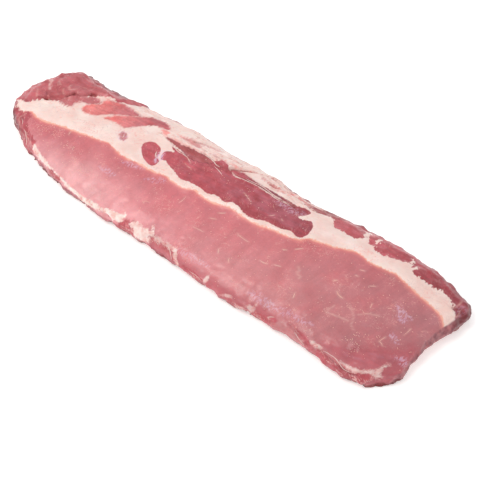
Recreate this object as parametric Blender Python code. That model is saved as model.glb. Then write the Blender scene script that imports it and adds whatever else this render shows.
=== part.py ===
"""Raw pork baby back ribs: one whole rack, lying with its meat side up.

Metres, +Z up. +X runs along the rack, -Y is the thin belly-side edge, +Y is the edge under the fat cap, and
z = 0 is the surface that the rack lies on. The origin is under the middle of the rack. Sizes are written in
millimetres.

The meat, fat and sinew have grown together and are one solid. Its plan is a patch between four edge curves,
its top is a cage of thicknesses with the raised and sunk places of the cut meat added, and its underside is
the shallow arch of the rib cage. The twelve rib bones lie bare along that arch, each in its own groove, and
end in the two long edges where the saw went through.
"""

import math

import bmesh
import bpy
import numpy as np

MM = 0.001

# Plan, seen from above: x, y of each edge curve, from its left or its near end.
NEAR_EDGE = ((-188.5, -47.5), (-159.5, -57.0), (-123.5, -63.5), (-74.5, -66.5), (-24.5, -65.0),
             (22.5, -65.5), (66.5, -66.5), (106.5, -63.5), (146.5, -62.0), (176.5, -64.5), (196.5, -62.5),
             (209.0, -54.5))
FAR_EDGE = ((-207.5, 41.0), (-191.0, 48.5), (-170.0, 47.5), (-152.0, 48.0), (-111.5, 53.5), (-69.5, 57.5),
            (-24.5, 57.5), (20.5, 60.0), (62.5, 57.5), (104.5, 62.5), (144.5, 66.0), (186.5, 65.0),
            (227.0, 53.5))
LEFT_END = ((-188.5, -47.5), (-212.5, -35.5), (-231.0, -17.0), (-226.5, 3.5), (-218.5, 19.5), (-207.5, 41.0))
RIGHT_END = ((209.0, -54.5), (217.0, -45.5), (223.5, -35.0), (221.5, -21.0), (222.5, -4.0), (224.0, 8.0),
             (228.5, 26.0), (232.0, 36.0), (231.0, 45.0), (227.0, 53.5))

# Thickness of the rack over the table: a row for each station along it, at these shares of the way across.
ACROSS = (0.0, 0.18, 0.42, 0.62, 0.80, 1.0)
STATIONS = (-230.0, -150.0, 0.0, 150.0, 230.0)
THICKNESS = ((13.0, 19.0, 23.0, 26.0, 28.0, 24.0),
             (14.0, 20.0, 25.0, 30.0, 31.0, 26.0),
             (14.0, 21.0, 27.0, 32.0, 31.0, 22.0),
             (13.0, 19.0, 24.0, 28.0, 28.0, 22.0),
             (12.0, 16.0, 18.0, 20.0, 20.0, 17.0))

# The rim that runs round the rack at its widest, and how far the top rounds over to reach it.
RIM_HEIGHT = 9.2
RIM_RISE_ACROSS = 2.0
ROUND_NEAR, ROUND_FAR, ROUND_LEFT, ROUND_RIGHT = 15.0, 24.0, 20.0, 10.0
ROUNDED_LENGTH, ROUNDED_WIDTH = 455.0, 122.0
SIDE_LEAN = 5.0

# Where the muscles and the fat meet on the top, as lines of x, y.
FAT_SEAM = ((-213.0, -29.0), (-192.0, -26.0), (-164.0, -22.0), (-140.0, -15.5), (-116.0, -13.5),
            (-86.0, -13.5), (-59.0, -12.0), (-29.0, -9.5), (0.0, -6.0), (30.0, -1.5), (61.0, 1.0),
            (91.0, 13.5), (111.0, 19.5), (136.0, 26.5), (162.0, 28.5), (187.0, 28.5), (212.0, 25.5),
            (224.0, 18.0))
FAT_FLAP = ((-72.0, 21.5), (-54.0, 23.5), (-24.0, 26.5), (-9.0, 29.5), (22.0, 29.5), (50.0, 31.0),
            (76.0, 35.5))
END_GROOVE = ((150.0, -53.0), (167.0, -50.0), (186.0, -44.0), (205.0, -29.0), (218.0, -8.0))
LOBE_BORDER = ((-216.0, -20.0), (-201.0, -13.0), (-188.0, -1.0), (-173.0, 8.0), (-161.0, 21.0),
               (-148.0, 28.0), (-127.0, 39.0))
SEAM_STEP, SEAM_RIDGE, SEAM_WIDTH = 1.1, 0.9, 7.0
FLAP_STEP, FLAP_FADE = 2.4, 16.0
END_GROOVE_DEPTH, END_GROOVE_WIDTH = 1.8, 6.0
LOBE_STEP, LOBE_FADE = 4.6, 34.0
LUMP_HEIGHT = 0.7
LUMPS = ((1.0, 31.0, 19.0, 0.4), (0.7, 19.0, 31.0, 2.1))  # share of the height, length, width and phase

# The rib cage: the arch of the underside and the bones along it.
RIB_COUNT = 12
RIB_PITCH = 36.5
RIB_SLANT = 3.5
RIB_SWAY = 0.6
RIB_HALF_WIDTH_NEAR, RIB_HALF_WIDTH_FAR = 5.7, 6.5
RIB_HALF_HEIGHT_NEAR, RIB_HALF_HEIGHT_FAR = 2.8, 4.0
RIB_UNEVENNESS = 0.06
RIB_TABLE_GAP = 0.2
RIB_END_RECESS = 1.6
ARCH_HEIGHT = 6.5
ARCH_FULL_SPAN = 100.0
FOOT_WIDTH = 10.0
MEAT_ABOVE_RIBS = 1.6
BONE_CLEARANCE = 0.35
CUTTER_OVERRUN = 8.0

# How finely the solids are split.
MEAT_SPLITS = (74, 20, 3)
RIB_SIDES, RIB_RINGS = 10, 9

MATERIALS = {
    "meat": ((0.60, 0.21, 0.20), 0.38),
    "bone": ((0.78, 0.60, 0.52), 0.45),
}


def smooth(share):
    """Ease from 0 to 1 as share goes from 0 to 1."""
    share = np.clip(share, 0.0, 1.0)
    return share * share * (3.0 - 2.0 * share)


def quarter_round(share):
    """The height of a quarter circle, 0 at its edge and 1 from share 1 on."""
    share = np.clip(share, 0.0, 1.0)
    return np.sqrt(1.0 - (1.0 - share) ** 2)


def spline(points, count=400):
    """A smooth curve through points, as count points spaced evenly along it."""
    cage = np.array(points, float)
    cage = np.vstack([2 * cage[0] - cage[1], cage, 2 * cage[-1] - cage[-2]])
    t = np.linspace(0.0, 1.0, 24, endpoint=False)[:, None]
    spans = []
    for before, start, end, after in zip(cage, cage[1:], cage[2:], cage[3:]):
        bend = 2 * before - 5 * start + 4 * end - after
        twist = 3 * (start - end) + after - before
        spans.append(0.5 * (2 * start + (end - before) * t + bend * t**2 + twist * t**3))
    curve = np.vstack(spans + [cage[-2:-1]])
    run = np.concatenate([[0.0], np.cumsum(np.linalg.norm(np.diff(curve, axis=0), axis=1))])
    even = np.linspace(0.0, run[-1], count)
    return np.stack([np.interp(even, run, curve[:, k]) for k in range(2)], axis=1)


NEAR, FAR, LEFT, RIGHT = (spline(edge) for edge in (NEAR_EDGE, FAR_EDGE, LEFT_END, RIGHT_END))
LEFT_TIP, RIGHT_TIP = int(LEFT[:, 0].argmin()), int(RIGHT[:, 0].argmax())
NEAR_LINE = np.vstack([LEFT[:LEFT_TIP + 1][::-1], NEAR, RIGHT[:RIGHT_TIP + 1]])
FAR_LINE = np.vstack([LEFT[LEFT_TIP:], FAR, RIGHT[RIGHT_TIP:][::-1]])


def along(curve, share):
    """Points on curve at these shares of its length."""
    places = np.linspace(0.0, 1.0, len(curve))
    return np.stack([np.interp(share, places, curve[:, k]) for k in range(2)], axis=-1)


def plan(a, b):
    """The plan point at a along and b across, both from -1 to 1, on the patch between the edge curves."""
    s, t = (a + 1) / 2, (b + 1) / 2
    near, far, left, right = along(NEAR, s), along(FAR, s), along(LEFT, t), along(RIGHT, t)
    s, t = s[..., None], t[..., None]
    corners = (1 - s) * (1 - t) * NEAR[0] + s * (1 - t) * NEAR[-1] + (1 - s) * t * FAR[0] + s * t * FAR[-1]
    return (1 - t) * near + t * far + (1 - s) * left + s * right - corners


def through(places, values, at):
    """A smooth curve through values at places, read at at."""
    values = np.asarray(values, float)
    slopes = np.gradient(values, places)
    i = np.clip(np.searchsorted(places, at) - 1, 0, len(places) - 2)
    span = np.diff(places)[i]
    t = (at - np.asarray(places)[i]) / span
    start = (2 * t**3 - 3 * t**2 + 1) * values[i] + (t**3 - 2 * t**2 + t) * span * slopes[i]
    end = (3 * t**2 - 2 * t**3) * values[i + 1] + (t**3 - t**2) * span * slopes[i + 1]
    return start + end


def thickness(x, b):
    """Height of the top over the table from the cage of thicknesses."""
    rows = np.stack([through(ACROSS, row, (b + 1) / 2) for row in THICKNESS])
    stations = np.asarray(STATIONS)
    i = np.clip(np.searchsorted(stations, x) - 1, 0, len(stations) - 2)
    t = smooth((x - stations[i]) / np.diff(stations)[i])
    left = np.take_along_axis(rows, i[None], 0)[0]
    right = np.take_along_axis(rows, (i + 1)[None], 0)[0]
    return left * (1 - t) + right * t


def beyond(line, x, y):
    """How far y lies on the far side of a line along the rack, with 1 where x is between its ends."""
    curve = spline(line)
    inside = smooth((x - curve[0, 0]) / 10.0 + 0.5) * smooth((curve[-1, 0] - x) / 10.0 + 0.5)
    return y - np.interp(x, curve[:, 0], curve[:, 1]), inside


def relief(x, y):
    """What stands proud of the top or is sunk into it: the seam, the flap, the end groove and the lobe."""
    seam, on_seam = beyond(FAT_SEAM, x, y)
    height = on_seam * (SEAM_STEP * (smooth(seam / SEAM_WIDTH + 0.5) - 0.5)
                        + SEAM_RIDGE * np.exp(-((seam - 5.0) / SEAM_WIDTH) ** 2))
    flap, on_flap = beyond(FAT_FLAP, x, y)
    raised = smooth(flap / 4.0 + 0.5) * np.exp(-np.clip(flap, 0.0, None) / FLAP_FADE)
    sunk = smooth(0.5 - flap / 4.0) * np.exp(np.clip(flap, None, 0.0) / FLAP_FADE)
    height += on_flap * FLAP_STEP * (0.6 * raised - 0.4 * sunk)
    groove, on_groove = beyond(END_GROOVE, x, y)
    height -= on_groove * END_GROOVE_DEPTH * np.exp(-(groove / END_GROOVE_WIDTH) ** 2)
    lobe, on_lobe = beyond(LOBE_BORDER, x, y)
    height += on_lobe * LOBE_STEP * smooth(lobe / 6.0 + 0.3) * np.exp(-np.clip(lobe, 0.0, None) / LOBE_FADE)
    for share, length, width, phase in LUMPS:
        waves = np.sin(2.0 * x / length + phase) * np.sin(2.0 * y / width + x / length + phase)
        height += share * LUMP_HEIGHT * waves
    return height


def top_height(x, y, a, b):
    """Height of the top at plan point x, y, which lies at a along and b across."""
    near_or_far = np.where(b < 0, (1 + b) / ROUND_NEAR, (1 - b) / ROUND_FAR) * ROUNDED_WIDTH / 2
    left_or_right = np.where(a < 0, (1 + a) / ROUND_LEFT, (1 - a) / ROUND_RIGHT) * ROUNDED_LENGTH / 2
    rounding = quarter_round(near_or_far) * quarter_round(left_or_right)
    rim = RIM_HEIGHT + RIM_RISE_ACROSS * b
    return rim + (thickness(x, b) + relief(x, y) - rim) * rounding


def span_at(x):
    """The y of the near and the far edge at x."""
    return np.interp(x, NEAR_LINE[:, 0], NEAR_LINE[:, 1]), np.interp(x, FAR_LINE[:, 0], FAR_LINE[:, 1])


def arch(x, y):
    """Height of the rib cage's arch over the table, 0 along both long edges."""
    near, far = span_at(x)
    middle, half = (near + far) / 2, np.clip((far - near) / 2 - FOOT_WIDTH, 1.0, None)
    height = ARCH_HEIGHT * np.clip(2 * half / ARCH_FULL_SPAN, 0.0, 1.0)
    return height * np.clip(1 - ((y - middle) / half) ** 2, 0.0, 1.0)


def underside(x, y):
    """Height of the meat between the bones: it stands higher than they do, but for the two long feet."""
    height = arch(x, y)
    return height + MEAT_ABOVE_RIBS * smooth(height / (0.35 * ARCH_HEIGHT))


def rim_crowding(values, power):
    """Move evenly spaced values from -1 to 1 closer together towards both ends."""
    return np.sign(values) * (1 - (1 - np.abs(values)) ** power)


def split_cube(splits):
    """A cube from -1 to 1 whose edges along each axis are split into this many parts."""
    cube = bmesh.new()
    bmesh.ops.create_cube(cube, size=2.0)
    for axis, parts in enumerate(splits):
        edges = [e for e in cube.edges if abs(e.verts[0].co[axis] - e.verts[1].co[axis]) > 0.5]
        bmesh.ops.subdivide_edges(cube, edges=edges, cuts=parts - 1, use_grid_fill=True)
    return cube


def new_material(name):
    """A plain finish from its colour and roughness."""
    colour, roughness = MATERIALS[name]
    material = bpy.data.materials.new(name)
    material.use_nodes = True
    shader = material.node_tree.nodes["Principled BSDF"]
    shader.inputs["Base Color"].default_value = (*colour, 1.0)
    shader.inputs["Roughness"].default_value = roughness
    shader.inputs["Metallic"].default_value = 0.0
    material.diffuse_color = (*colour, 1.0)
    return material


def to_object(solid, name, collection, material=None):
    """Turn a bmesh in millimetres into an object in metres."""
    mesh = bpy.data.meshes.new(name)
    solid.to_mesh(mesh)
    solid.free()
    mesh.transform(((MM, 0, 0, 0), (0, MM, 0, 0), (0, 0, MM, 0), (0, 0, 0, 1)))
    if material:
        mesh.materials.append(material)
    obj = bpy.data.objects.new(name, mesh)
    collection.objects.link(obj)
    return obj


def make_meat(collection, material):
    """The loin, its fat and the meat between the ribs, as one solid with an arched underside."""
    solid = split_cube(MEAT_SPLITS)
    cage = np.array([v.co for v in solid.verts])
    a, b, c = rim_crowding(cage[:, 0], 1.15), rim_crowding(cage[:, 1], 1.3), cage[:, 2]
    down = (1 - c) / 2
    lean = SIDE_LEAN * down**1.8
    flat = plan(a, b)
    x, y = plan(a * (1 - 2 * lean / ROUNDED_LENGTH), b * (1 - 2 * lean / ROUNDED_WIDTH)).T
    z = (1 - down) * top_height(flat[:, 0], flat[:, 1], a, b) + down * underside(x, y)
    for vertex, place in zip(solid.verts, np.stack([x, y, z], axis=1)):
        vertex.co = place
    meat = to_object(solid, "meat", collection, material)
    meat.data.shade_smooth()
    return meat


def make_rib(number, collection, name, material=None, grow=0.0, overrun=0.0):
    """One rib bone, oval and arched, or its slightly larger cutter, which runs out past both long edges."""
    middle_x = (number - (RIB_COUNT + 1) / 2) * RIB_PITCH
    near, far = (float(edge) for edge in span_at(middle_x))
    start, end = near + SIDE_LEAN + RIB_END_RECESS, far - SIDE_LEAN - RIB_END_RECESS
    size = 1 + RIB_UNEVENNESS * math.sin(2.4 * number)
    rings = list(np.linspace(start, end, RIB_RINGS + 1))
    if overrun:
        rings = [start - overrun, *rings, end + overrun]

    solid = bmesh.new()
    bmesh.ops.create_cone(solid, cap_ends=True, segments=RIB_SIDES, radius1=1.0, radius2=1.0, depth=2.0)
    lengthways = [e for e in solid.edges if abs(e.verts[0].co.z - e.verts[1].co.z) > 1.0]
    bmesh.ops.subdivide_edges(solid, edges=lengthways, cuts=len(rings) - 2)
    for vertex in solid.verts:
        # The bone is laid along y, and x is turned round with it so that its faces still point outwards.
        side, up = -vertex.co.x, vertex.co.y
        y = rings[round((vertex.co.z + 1) / 2 * (len(rings) - 1))]
        share = min(max((y - start) / (end - start), 0.0), 1.0)
        half_width = size * (RIB_HALF_WIDTH_NEAR + (RIB_HALF_WIDTH_FAR - RIB_HALF_WIDTH_NEAR) * share)
        half_height = size * (RIB_HALF_HEIGHT_NEAR + (RIB_HALF_HEIGHT_FAR - RIB_HALF_HEIGHT_NEAR) * share)
        centre_x = middle_x + RIB_SLANT * (2 * share - 1) + RIB_SWAY * math.sin(3.0 * share + number)
        centre_z = RIB_TABLE_GAP + half_height + float(arch(middle_x, start + (end - start) * share))
        vertex.co = (centre_x + side * (half_width + grow), y, centre_z + up * (half_height + grow))
    return to_object(solid, name, collection, material)


def main():
    for obj in list(bpy.data.objects):
        bpy.data.objects.remove(obj, do_unlink=True)
    rack = bpy.data.collections.new("pork_baby_back_ribs")
    cutters = bpy.data.collections.new("rib_grooves")
    for collection in (rack, cutters):
        bpy.context.scene.collection.children.link(collection)

    bone = new_material("bone")
    meat = make_meat(rack, new_material("meat"))
    for number in range(1, RIB_COUNT + 1):
        rib = make_rib(number, rack, f"rib_{number:02d}", material=bone)
        rib.data.shade_smooth()
        rib.data.set_sharp_from_angle(angle=math.radians(50))
        groove = f"groove_{number:02d}"
        cutter = make_rib(number, cutters, groove, grow=BONE_CLEARANCE, overrun=CUTTER_OVERRUN)
        cutter.hide_render = True
        cutter.display_type = "WIRE"

    grooves = meat.modifiers.new("rib_grooves", "BOOLEAN")
    grooves.operation = "DIFFERENCE"
    grooves.solver = "EXACT"
    grooves.operand_type = "COLLECTION"
    grooves.collection = cutters


main()
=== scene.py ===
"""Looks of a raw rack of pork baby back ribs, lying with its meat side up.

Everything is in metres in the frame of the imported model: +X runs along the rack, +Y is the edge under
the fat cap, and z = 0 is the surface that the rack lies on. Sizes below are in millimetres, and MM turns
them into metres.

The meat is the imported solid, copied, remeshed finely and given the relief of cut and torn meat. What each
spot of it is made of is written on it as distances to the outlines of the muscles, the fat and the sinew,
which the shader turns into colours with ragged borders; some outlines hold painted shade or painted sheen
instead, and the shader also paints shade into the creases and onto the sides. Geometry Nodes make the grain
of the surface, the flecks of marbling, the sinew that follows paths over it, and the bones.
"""

from __future__ import annotations

import logging
import math
from dataclasses import dataclass
from enum import Enum
from typing import Any, Sequence

import bmesh
import bpy
import numpy as np
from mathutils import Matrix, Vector
from mathutils.bvhtree import BVHTree

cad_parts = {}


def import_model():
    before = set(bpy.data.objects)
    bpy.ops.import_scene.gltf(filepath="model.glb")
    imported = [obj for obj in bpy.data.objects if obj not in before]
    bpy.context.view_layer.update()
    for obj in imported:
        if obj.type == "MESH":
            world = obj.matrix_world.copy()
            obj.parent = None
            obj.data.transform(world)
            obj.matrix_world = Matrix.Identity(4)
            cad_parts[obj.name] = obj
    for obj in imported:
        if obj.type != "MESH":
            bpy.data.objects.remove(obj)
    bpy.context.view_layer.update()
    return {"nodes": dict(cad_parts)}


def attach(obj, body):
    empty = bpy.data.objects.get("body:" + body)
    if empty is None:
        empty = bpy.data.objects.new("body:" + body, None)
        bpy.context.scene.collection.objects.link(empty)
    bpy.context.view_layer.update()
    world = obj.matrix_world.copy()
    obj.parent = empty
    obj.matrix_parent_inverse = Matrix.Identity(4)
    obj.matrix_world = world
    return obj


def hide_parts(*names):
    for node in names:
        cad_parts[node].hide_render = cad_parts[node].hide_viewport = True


MM = 0.001
BODY = "root"
NOISE_SPREAD = 5.0  # how many times its own share a noise must be swung to fill that share
NOISE_MIDDLE = 0.5  # the value that every noise swings about
DRIFT_SPAN = (0.38, 0.65)  # the values of a noise between which one colour drifts into another
TISSUE_IOR = 1.4  # moist meat and fat, which are mostly water
WELD_MM = 0.001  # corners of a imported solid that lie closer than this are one
TINY = 1e-9  # keeps a line's doubled points from dividing by nothing
EASED = {"interpolation_type": "SMOOTHSTEP"}  # lets a Map Range node ease in and out
RGBA = {"data_type": "RGBA"}  # lets a Mix node mix colours
log = logging.getLogger("pork_ribs")

Span = tuple[float, float]
Triple = tuple[float, float, float]
Line = tuple[tuple[float, float], ...]
Ramp = tuple[tuple[float, str], ...]
Socket = bpy.types.NodeSocket
Node = bpy.types.Node
Tree = bpy.types.NodeTree


class Tissue(Enum):
    """What a patch is made of, or the painted shade or painted sheen laid on it; the value names the
    attribute that holds how far in each place lies.
    """

    # Deeper red over the loin: partly the lean's own redder colour, partly painted shade at the right end,
    # the near edge and the right near corner.
    BLUSH_AND_SHADE = "blush"
    FAT = "fat"
    MUSCLE = "muscle"
    SINEW = "sinew"
    # Not a tissue: painted sheen, a lilac painted reflection of the light on the wet surface, laid into the
    # colour.
    PAINTED_SHEEN = "film"


class Tone(Enum):
    """Colours of the small muscles, as places on one ramp from brown through dark red to salmon."""

    BROWN = 0.0
    DEEP = 0.12
    MAROON = 0.26
    DARK = 0.42
    DUSKY = 0.55
    ROSE = 0.68
    SALMON = 1.0


@dataclass(frozen=True)
class Patch:
    """One area of a tissue, as its outline on the rack's plan in mm.

    A muscle's tone runs from its left to its right end. The border fades over soft_mm and is torn times as
    ragged as its tissue's. share is how fully the area covers what is under it, lumps how uneven it is.
    """

    name: str
    tissue: Tissue
    outline: Line
    left: Tone = Tone.DARK
    right: Tone = Tone.MAROON
    soft_mm: float = 0.45
    torn: float = 1.0
    share: float = 1.0
    lumps: float = 0.0


@dataclass(frozen=True)
class Strand:
    """A strand of sinew or fat that lies on the top along a path in mm, thickest in its middle."""

    path: Line
    width_mm: float


@dataclass(frozen=True)
class Crease:
    """A fold, gap or crevice along a path in mm on the plan."""

    path: Line
    depth_mm: float
    width_mm: float


@dataclass(frozen=True)
class Cluster:
    """A spot on the plan, in mm, round which the flecks of marbling lie close together."""

    x_mm: float
    y_mm: float
    radius_mm: float


@dataclass(frozen=True)
class Mound:
    """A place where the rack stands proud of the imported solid, or below it where the height is negative."""

    x_mm: float
    y_mm: float
    height_mm: float
    radius_mm: float


@dataclass(frozen=True)
class Wisp:
    """Thin wandering lines in a tissue, such as fibres, veins or seams of fat.

    They are as long and as far apart as the noise of size_mm, turned by turn_deg. width is their share of
    that noise, core the share of the width that shows fully. They show by strength in patches of patch_mm,
    which come in over patch_span of another noise.
    """

    size_mm: Triple
    width: float
    patch_mm: float
    colour: str
    strength: float
    turn_deg: float = 0.0
    core: float = 0.25
    patch_span: Span = (0.5, 0.62)


@dataclass(frozen=True)
class Mottle:
    """Noise that lightens and darkens a tissue: its grain's size, its share and how it is turned."""

    size_mm: Triple
    share: float
    turn_deg: float = 0.0


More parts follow.
